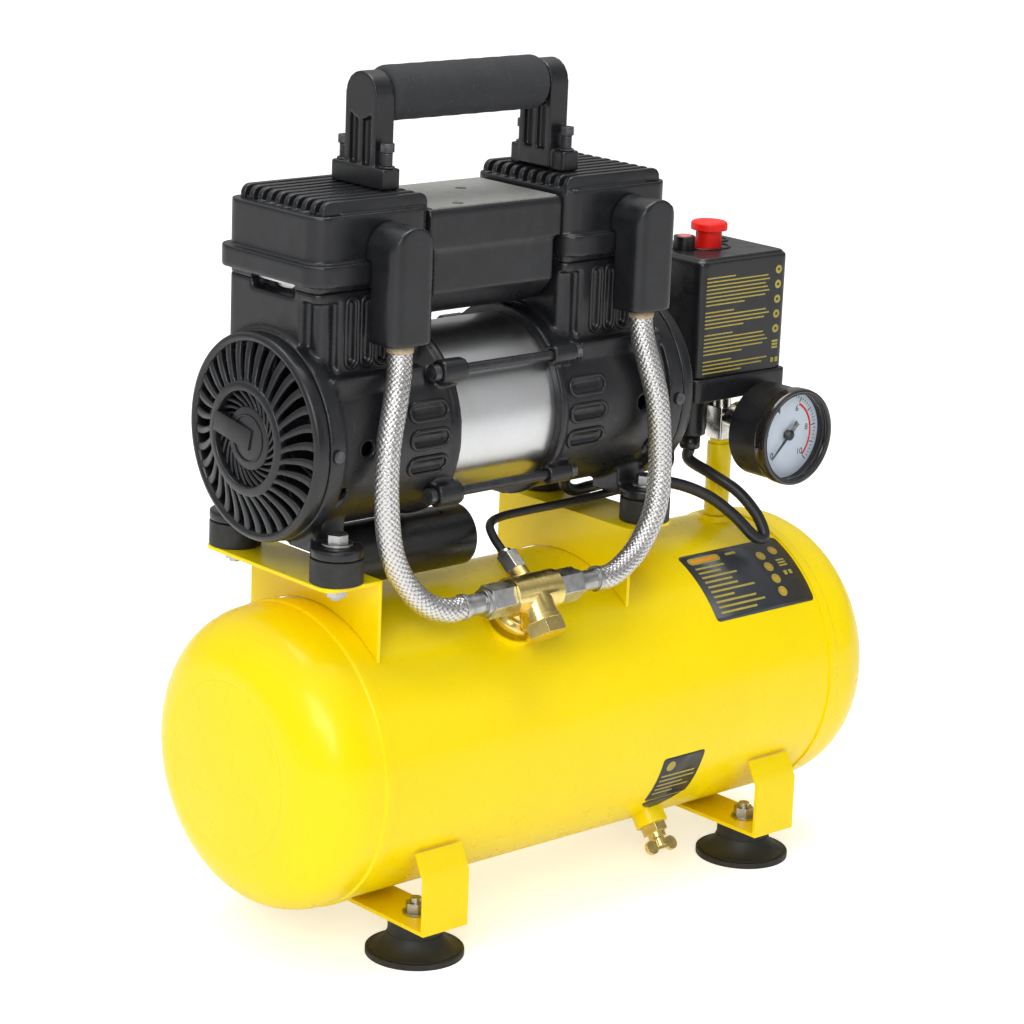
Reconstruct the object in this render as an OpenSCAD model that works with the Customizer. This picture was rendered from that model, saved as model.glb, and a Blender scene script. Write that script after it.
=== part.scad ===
// Portable twin-cylinder oil-free air compressor on a small horizontal tank.
// Millimetres, +Z up. The tank lies along X, the front of the machine faces -Y.
// Origin: on the floor, under the middle of the tank.

/* [Tank] */
// Outer radius of the tank
tank_r = 80; // [76:1:84]
// Wall thickness of the tank and its pressed ends
tank_wall = 2; // [1.5:0.5:3]
// Half length of the rolled tank shell, middle to seam
shell_half = 158; // [150:1:165]
// Knuckle radius of the pressed tank ends
knuckle_r = 34; // [28:1:40]
// Crown radius of the pressed tank ends
crown_r = 400; // [300:10:600]

/* [Feet] */
// Distance of each foot bracket from the middle, along X
foot_x = 121; // [110:1:130]
// Distance of each rubber foot from the middle, along Y
foot_y = 55; // [50:1:58]
// Width of a foot bracket strip
foot_strip = 30; // [24:1:34]
// Radius of a rubber foot where it stands on the floor
pad_r = 26; // [20:1:27]
// Thickness of the foot strip and of the pump brackets
strip_t = 2.2; // [1.6:0.2:2.6]

/* [Pump] */
// Position of the pump's middle along X
pump_x = -63; // [-66:1:-60]
// Height of the motor shaft above the floor
axis_z = 274; // [272:1:278]
// Distance from the pump's middle to each pair of rubber mounts
mount_dx = 106; // [102:1:108]
// Distance of the rubber mounts from the middle, along Y
mount_dy = 42; // [40:1:44]
// Radius of a rubber mount
mount_r = 13.6; // [11:0.2:14.4]
// Outer radius of the crankcase barrels
barrel_r = 50; // [48:1:51]
// Outer radius of the steel motor sleeve
sleeve_r = 46; // [44:0.5:47]
// Outer radius of the slotted fan covers
cover_r = 53; // [50:0.5:55]
// Number of slots in the outer ring of a fan cover
cover_slots = 32; // [20:1:36]
// Distance from the pump's middle to each cylinder axis
cyl_dx = 80; // [79:1:82]
// Radius of the cylinder bore
bore_r = 25; // [20:0.5:26]
// Throw of each eccentric (half the piston stroke)
throw = 7; // [4:0.5:7]
// Number of cooling fins on each cylinder head
fin_count = 10; // [6:1:12]

/* [Handle] */
// Height of the handle bar's axis
handle_z = 441; // [430:0.5:460]
// Radius of the foam grip
grip_r = 14; // [13:0.5:16]

/* [Hoses] */
// Radius of the braided delivery hoses
hose_r = 6.2; // [5:0.2:6.6]
// Radius of the motor lead
lead_r = 3.3; // [2.5:0.1:3.6]
// Radius of the unloader tube
tube_r = 2.3; // [1.8:0.1:2.6]

/* [Controls] */
// Position of the pressure switch's middle along X
switch_x = 128.5; // [127:0.5:130]
// Width of the pressure switch cover
switch_w = 68; // [64:1:72]
// Radius of the gauge's outer rim
gauge_r = 27; // [25:0.5:28]
// Length of the gauge's needle from its pivot
needle_l = 18; // [12:0.5:20]

/* [Hidden] */
$fn = 64;

// Gap left between round faces of neighbouring fixed pieces
gap = 0.3;
// Running gap of the shaft, needle and pistons
run = 0.06;

// Tank
axis_tank = tank_r + 22;
knuckle_x = shell_half + 12;
crown_x = knuckle_x - sqrt(pow(crown_r - knuckle_r, 2) - pow(tank_r - knuckle_r, 2));

// Foot brackets
strip_z = 19.4;
strip_y = 79;
strip_bend = 50;
strip_tip_z = 63.5;
strip_tip_y = 72.2;

// Pump brackets
deck_z = 206;
deck_y = 53;
deck_in = mount_dx - 21;
deck_out = mount_dx + 13.5;

// Rubber mounts and crankcase ears
ear_z = 219;
ear_t = 6;

// Crankcases: distances from the pump's middle
sleeve_half = 34;
web_in = 44;
web_out = 52;
barrel_end = 112;
rim_end = 120;
cover_end = 128;
rod_y = 44;
rod_z = 32;
lug_in = 30;
lug_out = 46;
slot_depth = 1.8;

// Cylinders and heads
block_w = 71;
screw_x = cyl_dx + 28;
screw_y = 28;
pocket_edge = 22.6;
block_front = 35;
block_back = 38;
lip_low = 354.6;
block_z = 351;
plate_t = 4;
lip_z = 365.5;
body_z = 389;
fin_z = 395.6;
stroke_mid = 343.4;

// Intake lid: two holes through its top
lid_holes = [[pump_x - 20, -25], [pump_x + 11, 9]];

// Elbows
elbow_xs = [-138, 26];
elbow_w = 27;
elbow_y = 60;
elbow_z = 325;
elbow_arch = 371;
elbow_edge = 6;
port_z = 370;
hose_y = 49;

// Handle
post_out = 64.5;
post_w = 12;
post_r = 12;
base_z = 396;
base_t = 10.5;
base_w = 11.4;
base_d = 42;
bolt_x = 60.3;
bolt_y = 16.8;
bolt_low = 372;

// Check valve on the tank's front shoulder
valve_x = -58;
valve_y = -64;
valve_z = 187;
valve_tilt = atan2(-valve_y, valve_z - axis_tank);
valve_h = norm([valve_y, valve_z - axis_tank]);
bonnet_tilt = 54;
arm = 15.2;
nut_end = 31;
ferrule_end = 47.5;

// Drain on the tank's lower front
drain_x = 50;
drain_tilt = 37.6;

// Riser, manifold, switch and gauge
riser_x = 141;
block_s = 6;
block_bot = 230;
block_top = 248;
man_z = 242;
switch_y = 3;
switch_d = 56;
base_bot = 260;
cover_bot = 273;
cover_top = 340;
gauge_front = -60;
gauge_back = -30;
dial_y = -51;
knob_x = 127;
knob_y = 4;
reset_x = 110;
reset_y = 6;

// Gland of the motor lead and port of the unloader tube, under the switch
gland_x = 120;
gland_y = 3;
gland_z = 234;
nut_z = 226;
tube_x = 124;
tube_y = 18;
tube_z = 249;

// Gland of the motor lead under the right crankcase
lead_x = 30;
lead_y = 8;
lead_z = 221;

// Colours
yellow = [0.96, 0.85, 0.02];
black = [0.10, 0.10, 0.11];
rubber = [0.13, 0.13, 0.13];
steel = [0.72, 0.72, 0.72];
brass = [0.80, 0.66, 0.28];
red = [0.85, 0.08, 0.05];

// Routes of the flexible pieces, end to end
route_left = [[-138, -49, 325], [-138, -49, 319], [-140, -51, 309], [-145, -55, 297],
    [-152, -59, 275],
    [-153, -60, 250], [-149, -60, 223], [-139, -60, 204], [-127, -62, 192],
    [-114, -64, 187], [-105.5, -64, 187]];
route_right = [[26, -49, 325], [26, -49, 319], [26.6, -51, 309], [28.5, -55, 295],
    [32, -59, 275], [35, -60, 243], [31, -62, 218], [21, -62, 200], [9, -63, 191],
    [-2, -64, 187], [-10.5, -64, 187]];
route_tube = [[-58, -42, 203.5], [-58, -34, 209.5], [-54, -26, 214], [-42, -20, 215],
    [-20, -18, 215], [5, -18, 215], [30, -16, 215], [55, -13, 215], [78, -10, 216],
    [98, -3, 220], [110, 8, 224], [119, 16, 231], [124, 18, 240], [124, 18, 249]];
route_lead = [[30, 8, 221], [30, 8, 216], [37, 8, 212], [50, 9, 212], [66, 10, 212],
    [84, 4, 212], [100, -8, 210], [113, -20, 204], [123, -31, 194], [132, -40, 182],
    [138, -42, 182], [137, -36, 193], [131, -26, 205], [124, -12, 213], [120, 3, 219],
    [120, 3, 226]];

// ---------- helpers ----------

module xcyl(r, x0, x1, y, z) {
    translate([x0, y, z])
        rotate([0, 90, 0])
            cylinder(r = r, h = x1 - x0);
}

module ycyl(r, x, y0, y1, z) {
    translate([x, y1, z])
        rotate([90, 0, 0])
            cylinder(r = r, h = y1 - y0);
}

module zcyl(r, x, y, z0, z1) {
    translate([x, y, z0])
        cylinder(r = r, h = z1 - z0);
}

module zhex(r, x, y, z0, z1) {
    translate([x, y, z0])
        cylinder(r = r, h = z1 - z0, $fn = 6);
}

module xhex(r, x0, x1, y, z) {
    translate([x0, y, z])
        rotate([0, 90, 0])
            cylinder(r = r, h = x1 - x0, $fn = 6);
}

module box(x0, x1, y0, y1, z0, z1) {
    translate([x0, y0, z0])
        cube([x1 - x0, y1 - y0, z1 - z0]);
}

// Rectangle centred on the origin with round corners
module round_rect(w, d, r) {
    square([w, d - 2 * r], center = true);
    square([w - 2 * r, d], center = true);
    for (sx = [-1, 1])
        for (sy = [-1, 1])
            translate([sx * (w / 2 - r), sy * (d / 2 - r)])
                circle(r = r);
}

// Upright block with round vertical edges, centred on x, y
module post(x, y, w, d, z0, z1, r) {
    translate([x, y, z0])
        linear_extrude(height = z1 - z0)
            round_rect(w, d, r);
}

// Slot shape running along X
module slot_x(w, h) {
    square([w - h, h], center = true);
    for (s = [-1, 1])
        translate([s * (w - h) / 2, 0])
            circle(r = h / 2);
}

// Put a Y-Z drawing (first axis Y, second axis Z) upright from x0 to x1
module along_x(x0, x1) {
    translate([x0, 0, 0])
        rotate([90, 0, 90])
            linear_extrude(height = x1 - x0)
                children();
}

// Left (s = -1) or right (s = 1) copy of a piece drawn for the right end of the pump
module pump_end(s) {
    translate([pump_x, 0, 0])
        if (s > 0)
            children();
        else
            mirror([1, 0, 0])
                children();
}

// Smooth path through a route: position at segment i, fraction u
function at(p, i) = i < 0 ? 2 * p[0] - p[1]
    : i > len(p) - 1 ? 2 * p[len(p) - 1] - p[len(p) - 2] : p[i];
function path_pos(p, i, u) = 0.5 * ((2 * at(p, i)) + (at(p, i + 1) - at(p, i - 1)) * u
    + (2 * at(p, i - 1) - 5 * at(p, i) + 4 * at(p, i + 1) - at(p, i + 2)) * u * u
    + (3 * at(p, i) - at(p, i - 1) - 3 * at(p, i + 1) + at(p, i + 2)) * u * u * u);
function path_dir(p, i, u) = 0.5 * ((at(p, i + 1) - at(p, i - 1))
    + 2 * (2 * at(p, i - 1) - 5 * at(p, i) + 4 * at(p, i + 1) - at(p, i + 2)) * u
    + 3 * (3 * at(p, i) - at(p, i - 1) - 3 * at(p, i + 1) + at(p, i + 2)) * u * u);
function seg(p, s) = min(floor(s), len(p) - 2);
function unit(v) = v / norm(v);

// Round cord along a route: n rings of m points, side is a direction the route never follows
module cord(p, r, n, m, side) {
    pts = [for (k = [0 : n - 1])
        let (s = k * (len(p) - 1) / (n - 1),
            i = seg(p, s),
            c = path_pos(p, i, s - i),
            t = unit(path_dir(p, i, s - i)),
            a = unit(cross(t, side)),
            b = cross(t, a))
        for (j = [0 : m - 1])
            c + r * (cos(j * 360 / m) * a + sin(j * 360 / m) * b)];
    sides = [for (k = [0 : n - 2])
        for (j = [0 : m - 1])
            for (h = [0, 1])
                h == 0
                    ? [k * m + j, (k + 1) * m + j, (k + 1) * m + (j + 1) % m]
                    : [k * m + j, (k + 1) * m + (j + 1) % m, k * m + (j + 1) % m]];
    first = [for (j = [0 : m - 1]) j];
    last = [for (j = [0 : m - 1]) n * m - 1 - j];
    polyhedron(points = pts, faces = concat(sides, [first], [last]), convexity = 8);
}

// ---------- tank ----------

// Half profile of a pressed tank end: radius across, length up
module end_profile(off) {
    intersection() {
        union() {
            translate([0, shell_half])
                square([tank_r - off, knuckle_x - shell_half]);
            translate([0, knuckle_x - 1])
                square([tank_r - knuckle_r, 60]);
            translate([tank_r - knuckle_r, knuckle_x])
                circle(r = knuckle_r - off);
        }
        translate([0, crown_x])
            circle(r = crown_r - off, $fn = 128);
        translate([0, shell_half])
            square([tank_r + 2, 80]);
    }
}

module tank_end() {
    rotate([0, 90, 0])
        rotate_extrude($fn = 128)
            difference() {
                union() {
                    end_profile(0);
                    translate([0, shell_half])
                        square([tank_r + 1, 5]);
                    translate([tank_r - 1, shell_half + 5])
                        circle(r = 2);
                }
                translate([0, -0.1])
                    end_profile(tank_wall);
                translate([0, shell_half - 1])
                    square([tank_r - tank_wall, 8]);
            }
}

module tank_ends() {
    color(yellow)
        for (s = [0, 180])
            translate([0, 0, axis_tank])
                rotate([0, 0, s])
                    tank_end();
}

module drain_axis() {
    translate([drain_x, 0, axis_tank])
        rotate([180 - drain_tilt, 0, 0])
            children();
}

module valve_axis() {
    translate([valve_x, 0, axis_tank])
        rotate([valve_tilt, 0, 0])
            children();
}

module tank_shell() {
    color(yellow)
        difference() {
            union() {
                xcyl(tank_r, -shell_half, shell_half, 0, axis_tank);
                drain_axis()
                    zcyl(9, 0, 0, tank_r - 4, tank_r + 8);
                valve_axis()
                    zcyl(14.5, 0, 0, tank_r - 4, tank_r + 3);
                zcyl(10, riser_x, 0, axis_tank + tank_r - 3, axis_tank + tank_r + 3);
            }
            xcyl(tank_r - tank_wall, -shell_half - 1, shell_half + 1, 0, axis_tank);
            drain_axis()
                zcyl(5, 0, 0, tank_r - 10, tank_r + 9);
            valve_axis()
                zcyl(6, 0, 0, tank_r - 10, tank_r + 5);
            zcyl(5, riser_x, 0, axis_tank + tank_r - 8, axis_tank + tank_r + 4);
        }
}

// ---------- feet ----------

module strip_profile() {
    polygon([[-strip_y, strip_z], [strip_y, strip_z], [strip_y, strip_bend],
        [strip_tip_y, strip_tip_z], [strip_tip_y - 2, strip_tip_z - 1.2],
        [strip_y - strip_t, strip_bend - 0.6], [strip_y - strip_t, strip_z + strip_t],
        [strip_t - strip_y, strip_z + strip_t], [strip_t - strip_y, strip_bend - 0.6],
        [2 - strip_tip_y, strip_tip_z - 1.2], [-strip_tip_y, strip_tip_z],
        [-strip_y, strip_bend]]);
}

module foot_brackets() {
    color(yellow)
        for (s = [-1, 1])
            difference() {
                along_x(s * foot_x - foot_strip / 2, s * foot_x + foot_strip / 2)
                    strip_profile();
                for (t = [-1, 1])
                    zcyl(3.4, s * foot_x, t * foot_y, strip_z - 1, strip_z + strip_t + 1);
            }
}

module pad_profile() {
    difference() {
        union() {
            square([pad_r, 3]);
            square([14.5, strip_z]);
            translate([0, 3])
                square([pad_r - 2, 9]);
        }
        translate([pad_r, 15])
            circle(r = 11.5);
        translate([0, -1])
            square([3.3, 60]);
        translate([0, -1])
            square([9, 7]);
    }
}

module rubber_feet() {
    color(rubber)
        for (s = [-1, 1])
            for (t = [-1, 1])
                translate([s * foot_x, t * foot_y, 0])
                    rotate_extrude()
                        intersection() {
                            pad_profile();
                            square([60, strip_z]);
                        }
}

module foot_bolts() {
    color(steel)
        for (s = [-1, 1])
            for (t = [-1, 1]) {
                x = s * foot_x;
                y = t * foot_y;
                top = strip_z + strip_t;
                zcyl(3, x, y, 3, top + 9);
                zhex(5.8, x, y, 2.4, 6);
                zcyl(7, x, y, top, top + 1.4);
                zhex(5.8, x, y, top + 1.4, top + 6.4);
            }
}

// ---------- pump brackets and rubber mounts ----------

module pump_bracket() {
    w = deck_out - deck_in;
    difference() {
        union() {
            box(deck_in, deck_out - 8, -deck_y, deck_y, deck_z - strip_t, deck_z);
            post((deck_in + deck_out) / 2, 0, w, 2 * deck_y, deck_z - strip_t, deck_z, 8);
            box(deck_in, deck_in + strip_t, -deck_y, deck_y, 150, deck_z);
        }
        xcyl(tank_r + gap, deck_in - 1, deck_in + 5, 0, axis_tank);
        box(deck_in - 1, deck_in + 5, -deck_y - 1, deck_y + 1, 100, 156);
        for (t = [-1, 1])
            zcyl(3.4, mount_dx, t * mount_dy, deck_z - 4, deck_z + 1);
    }
}

module pump_bracket_left() {
    color(yellow)
        pump_end(-1)
            pump_bracket();
}

module pump_bracket_right() {
    color(yellow)
        pump_end(1)
            pump_bracket();
}

module at_mounts() {
    for (s = [-1, 1])
        for (t = [-1, 1])
            translate([pump_x + s * mount_dx, t * mount_dy, 0])
                children();
}

module rubber_mounts() {
    color(rubber)
        at_mounts()
            difference() {
                zcyl(mount_r, 0, 0, deck_z, ear_z);
                zcyl(3.3, 0, 0, deck_z - 1, ear_z + 1);
            }
}

module mount_bolts() {
    top = ear_z + ear_t;
    color(steel)
        at_mounts() {
            zcyl(3, 0, 0, deck_z - strip_t - 7, top + 4);
            zcyl(8, 0, 0, top, top + 1.5);
            zhex(5.8, 0, 0, top + 1.5, top + 6);
            zhex(5.8, 0, 0, deck_z - strip_t - 5, deck_z - strip_t);
        }
}

// ---------- crankcases ----------

// Drawn for the right end, distances measured from the pump's middle
// Opening in the outer side of block and head where the valve plate shows
module side_opening(z0, z1) {
    box(cyl_dx + 30.5, cyl_dx + 45, -17, 18, z0, z1);
}

module cylinder_block() {
    difference() {
        post(cyl_dx + 1.5, 1.5, block_w, block_front + block_back, axis_z + 20, block_z, 5);
        // recesses at the front corners, each around a round column
        for (u = [-1, 1])
            difference() {
                box(cyl_dx + min(u * 22.5, u * 50), cyl_dx + max(u * 22.5, u * 50),
                    -50, -22.5, axis_z + 30, block_z - 5);
                zcyl(5, cyl_dx + u * 28, -28, axis_z, block_z);
                box(cyl_dx - 35, cyl_dx - 31, -30, 30, axis_z, block_z);
            }
    }
}

// Pump end drawn for the right, with its tie-rod lug radius and middle upright slot
module crankcase(lug_r, slot_dx) {
    difference() {
        union() {
            xcyl(barrel_r, sleeve_half, barrel_end, 0, axis_z);
            xcyl(barrel_r + 1.5, sleeve_half, sleeve_half + 4, 0, axis_z);
            xcyl(barrel_r + 3.5, barrel_end - 2, rim_end, 0, axis_z);
            cylinder_block();
            for (t = [-1, 1]) {
                box(lug_out + 7, barrel_end - 1, min(t * 43, t * 34), max(t * 43, t * 34),
                    axis_z + 27, axis_z + 35.5);
                translate([mount_dx, t * mount_dy, ear_z])
                    cylinder(r = mount_r, h = ear_t);
                box(mount_dx - 12, mount_dx + 8, min(t * 33, t * 12), max(t * 33, t * 12),
                    ear_z, axis_z - 20);
                for (u = [-1, 1])
                    xcyl(lug_r, lug_in, lug_out, t * rod_y, axis_z + u * rod_z);
            }
        }
        // crank chamber
        xcyl(barrel_r - 4, web_out, rim_end + 1, 0, axis_z);
        // motor chamber
        xcyl(barrel_r - 6.5, sleeve_half - 1, web_in, 0, axis_z);
        // room for the sleeve under the tie-rod lugs
        xcyl(sleeve_r + gap, lug_in - 1, sleeve_half, 0, axis_z);
        // cylinder opening
        zcyl(bore_r + 2.8, cyl_dx, 0, axis_z, block_z + 1);
        zcyl(bore_r + 5.3, cyl_dx, 0, block_z - 3, block_z + 1);
        // bearing seat
        xcyl(13.3, web_in - 1, web_out + 1, 0, axis_z);
        for (t = [-1, 1]) {
            // tie rods
            for (u = [-1, 1])
                xcyl(2.6 + gap, lug_in - 1, lug_out + 1, t * rod_y, axis_z + u * rod_z);
            zcyl(3.3, mount_dx, t * mount_dy, ear_z - 1, axis_z);
            // blind slots on the side of the barrel
            for (k = [-1 : 1])
                difference() {
                    translate([sleeve_half + 20, t * barrel_r, axis_z + k * 14])
                        rotate([90, 0, 0])
                            translate([0, 0, -14])
                                linear_extrude(height = 28)
                                    slot_x(22, 6);
                    xcyl(barrel_r - slot_depth, sleeve_half, web_out + 20, 0, axis_z);
                }
            // head bolts
            zcyl(2.8, screw_x, t * screw_y, block_z - 25, block_z + 1);
            // upright cooling slots in the cylinder block
            for (k = [-1 : 1])
                translate([slot_dx + k * 9.6, t > 0 ? block_back : -block_front, 330])
                    rotate([90, 90, 0])
                        translate([0, 0, -3.5])
                            linear_extrude(height = 7)
                                slot_x(32, 4.4);
            // cover screws
            ycyl(1.8, rim_end - 4, t * 53 - 6, t * 53 + 6, axis_z);
        }
        side_opening(block_z - 4.5, block_z + 1);
        // lead hole
        ycyl(4, 94, -barrel_r - 2, -barrel_r + 8, axis_z);
    }
}

module crankcase_left() {
    color(black)
        pump_end(-1)
            crankcase(6.5, cyl_dx + 4.8);
}

module crankcase_right() {
    color(black)
        difference() {
            union() {
                pump_end(1)
                    crankcase(5.2, cyl_dx - 0.8);
                zcyl(6, lead_x, lead_y, lead_z, axis_z - barrel_r + 3);
            }
            zcyl(2.6, lead_x, lead_y, lead_z - 1, lead_z + 4);
        }
}

// ---------- motor ----------

module tube_x(r_out, r_in, x0, x1) {
    difference() {
        xcyl(r_out, x0, x1, 0, axis_z);
        xcyl(r_in, x0 - 1, x1 + 1, 0, axis_z);
    }
}

module motor_sleeve() {
    color(steel)
        tube_x(sleeve_r, sleeve_r - 2, pump_x - sleeve_half, pump_x + sleeve_half);
}

module stator() {
    color([0.55, 0.5, 0.45])
        difference() {
            union() {
                xcyl(sleeve_r - 2 - gap, pump_x - 24, pump_x + 24, 0, axis_z);
                xcyl(38, pump_x - 33, pump_x + 33, 0, axis_z);
            }
            xcyl(25, pump_x - 40, pump_x + 40, 0, axis_z);
            for (k = [0 : 7])
                translate([pump_x, 0, axis_z])
                    rotate([k * 45, 0, 0])
                        translate([-30, -3, 24])
                            cube([60, 6, 8]);
        }
}

module tie_rods() {
    color([0.2, 0.2, 0.2])
        for (t = [-1, 1])
            for (u = [-1, 1]) {
                y = t * rod_y;
                z = axis_z + u * rod_z;
                xcyl(2.6, pump_x - lug_out - 2, pump_x + lug_out + 5, y, z);
                xcyl(4.2, pump_x - lug_out - 4, pump_x - lug_out, y, z);
                xhex(4.3, pump_x + lug_out, pump_x + lug_out + 4, y, z);
            }
}

module motor_shaft() {
    color(steel)
        xcyl(5, pump_x - 124, pump_x + 124, 0, axis_z);
}

module rotor_core() {
    color([0.5, 0.5, 0.52])
        difference() {
            union() {
                xcyl(24.4, pump_x - 24, pump_x + 24, 0, axis_z);
                xcyl(22, pump_x - 30, pump_x + 30, 0, axis_z);
            }
            xcyl(5.02, pump_x - 40, pump_x + 40, 0, axis_z);
        }
}

module bearings() {
    color(steel)
        for (s = [-1, 1])
            pump_end(s)
                difference() {
                    xcyl(13, web_in + 0.5, web_out - 0.5, 0, axis_z);
                    xcyl(5 + run, web_in - 1, web_out + 1, 0, axis_z);
                    for (h = [web_in - 1, web_out - 1])
                        tube_x(10.6, 7.4, h, h + 2);
                }
}

// Each eccentric clamps on the shaft; the two are half a turn apart
module eccentrics() {
    color([0.45, 0.45, 0.46])
        for (s = [-1, 1])
            pump_end(s)
                difference() {
                    union() {
                        xcyl(9, cyl_dx - 8, cyl_dx + 8, 0, axis_z);
                        xcyl(9, cyl_dx - 4, cyl_dx + 4, 0, axis_z - s * throw);
                        xcyl(14, cyl_dx + 8, cyl_dx + 13, 0, axis_z + s * 4);
                    }
                    xcyl(5.02, cyl_dx - 20, cyl_dx + 20, 0, axis_z);
                }
}

module fan() {
    x0 = rim_end - 18;
    difference() {
        union() {
            xcyl(15, x0, rim_end + 2, 0, axis_z);
            xcyl(44, x0, x0 + 1.6, 0, axis_z);
            for (k = [0 : 10])
                translate([0, 0, axis_z])
                    rotate([k * 360 / 11, 0, 0])
                        translate([x0, -0.9, 12])
                            rotate([14, 0, 0])
                                cube([18, 1.8, 30]);
        }
        xcyl(5.02, x0 - 1, rim_end + 10, 0, axis_z);
    }
}

module cooling_fans() {
    color([0.16, 0.16, 0.17])
        for (s = [-1, 1])
            pump_end(s)
                fan();
}

// Slots of the fan cover, drawn flat: first axis Y, second axis Z
module grille_cut() {
    for (k = [0 : cover_slots - 1])
        rotate(k * 360 / cover_slots)
            translate([30, 0])
                rotate(-14)
                    translate([10, 0])
                        slot_x(20, 3.4);
    for (k = [0 : 23])
        rotate(k * 15 + 4)
            translate([14.5, 0])
                rotate(40)
                    translate([5, 0])
                        slot_x(10.5, 1.6);
}

module fan_cover() {
    difference() {
        union() {
            xcyl(cover_r, rim_end, cover_end - 1.5, 0, axis_z);
            xcyl(cover_r - 1.5, cover_end - 2, cover_end, 0, axis_z);
        }
        xcyl(cover_r - 4, rim_end - 1, cover_end - 2.6, 0, axis_z);
        translate([0, 0, axis_z])
            along_x(rim_end, cover_end + 1)
                grille_cut();
        // the middle is set back
        xcyl(26.5, cover_end - 1, cover_end + 1, 0, axis_z);
    }
    difference() {
        xcyl(14, cover_end - 2.6, cover_end - 0.2, 0, axis_z);
        xcyl(10, cover_end - 0.6, cover_end, 0, axis_z);
    }
}

module fan_cover_left() {
    color(black)
        pump_end(-1)
            fan_cover();
}

module fan_cover_right() {
    color(black)
        pump_end(1)
            fan_cover();
}

module cover_screws() {
    color([0.25, 0.25, 0.26])
        for (s = [-1, 1])
            for (t = [-1, 1]) {
                x = pump_x + s * (rim_end - 4);
                a = barrel_r + 3.5;
                ycyl(1.5, x, min(t * (a - 5), t * a), max(t * (a - 5), t * a), axis_z);
                ycyl(3.2, x, min(t * a, t * (a + 1.8)), max(t * a, t * (a + 1.8)), axis_z);
            }
}

// ---------- cylinders ----------

module cylinder_sleeves() {
    color([0.7, 0.7, 0.72])
        for (s = [-1, 1])
            difference() {
                union() {
                    zcyl(bore_r + 2.5, pump_x + s * cyl_dx, 0, 318, block_z);
                    zcyl(bore_r + 5, pump_x + s * cyl_dx, 0, block_z - 3, block_z);
                }
                zcyl(bore_r, pump_x + s * cyl_dx, 0, 317, block_z + 1);
            }
}

// Cup piston and its rod in one casting; the big end is left wide of the eccentric
module piston() {
    difference() {
        union() {
            zcyl(bore_r - run, cyl_dx, 0, stroke_mid - 9, stroke_mid);
            box(cyl_dx - 4, cyl_dx + 4, -7, 7, axis_z + 25, stroke_mid - 5);
            xcyl(28, cyl_dx - 3.5, cyl_dx + 3.5, 0, axis_z);
        }
        xcyl(23.6, cyl_dx - 5, cyl_dx + 5, 0, axis_z);
        zcyl(6, cyl_dx, 0, stroke_mid - 1.5, stroke_mid + 1);
    }
}

module piston_left() {
    color([0.75, 0.75, 0.76])
        pump_end(-1)
            piston();
}

module piston_right() {
    color([0.75, 0.75, 0.76])
        pump_end(1)
            piston();
}

module valve_plates() {
    color([0.8, 0.8, 0.8])
        for (s = [-1, 1])
            pump_end(s)
                difference() {
                    post(cyl_dx, 0, 66, 66, block_z, block_z + plate_t, 5);
                    for (t = [-1, 1]) {
                        zcyl(2.8, screw_x, t * screw_y, block_z - 1, block_z + 6);
                        for (k = [-1, 1])
                            zcyl(2, cyl_dx + k * 5, t * 11, block_z - 1, block_z + 6);
                    }
                }
}

// One cooling fin with round ends, length across, height up
module fin_profile() {
    translate([-28.4, 0])
        square([56.8, 7.6]);
    for (s = [-1, 1])
        translate([s * 28.4, 3])
            circle(r = 4.6);
}

// Cylinder head drawn for the right end; out is where its outlet sits
module cylinder_head(out) {
    difference() {
        union() {
            post(cyl_dx + 1.5, 1.5, block_w, block_front + block_back, block_z, lip_low + 1, 5);
            post(cyl_dx + 3.5, 2, 77, 84, lip_low, lip_z, 12);
            post(cyl_dx + 1.75, 1.5, 73.5, 76, lip_z - 1, body_z, 10);
            for (k = [0 : fin_count - 1])
                translate([cyl_dx, -29.8 + k * 63 / (fin_count - 1), body_z - 1])
                    rotate([90, 0, 0])
                        linear_extrude(height = 3.4)
                            fin_profile();
        }
        // seat of the valve plate
        post(cyl_dx, 0, 66.6, 66.6, block_z - 1, block_z + plate_t, 5.3);
        // suction and delivery chambers
        box(cyl_dx - 16, cyl_dx + 24, -24, -2, block_z + 3, body_z - 5);
        box(cyl_dx - 16, cyl_dx + 24, 2, 24, block_z + 3, body_z - 5);
        // open side where the valve plate shows
        side_opening(block_z - 1, lip_low);
        // outlet to the elbow
        ycyl(5, out, -45, -20, port_z);
        for (t = [-1, 1]) {
            zcyl(2.8, screw_x, t * screw_y, block_z, fin_z + 1);
            zcyl(4.8, screw_x, t * screw_y, body_z - 4, body_z + 1);
            // the fins stop short of the screw heads
            box(cyl_dx + pocket_edge, cyl_dx + 40, min(t * pocket_edge, t * 40),
                max(t * pocket_edge, t * 40), body_z, fin_z + 1);
            zcyl(2.8, bolt_x, t * bolt_y, bolt_low - 1, fin_z + 1);
        }
    }
}

module cylinder_head_left() {
    color(black)
        pump_end(-1)
            cylinder_head(pump_x - elbow_xs[0]);
}

module cylinder_head_right() {
    color(black)
        pump_end(1)
            cylinder_head(elbow_xs[1] - pump_x);
}

module head_screws() {
    color(steel)
        for (s = [-1, 1])
            pump_end(s)
                for (t = [-1, 1])
                    difference() {
                        union() {
                            zcyl(2.5, screw_x, t * screw_y, block_z - 24, body_z - 2);
                            zcyl(4.4, screw_x, t * screw_y, body_z - 4, body_z + 1);
                        }
                        zhex(2.4, screw_x, t * screw_y, body_z - 1.5, body_z + 2);
                    }
}

// ---------- intake and outlet ----------

module intake_profile(off) {
    intersection() {
        translate([0, 366])
            circle(r = 40 - off, $fn = 96);
        translate([-33 + off, 320])
            square([66 - 2 * off, 66.4]);
    }
}

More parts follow.
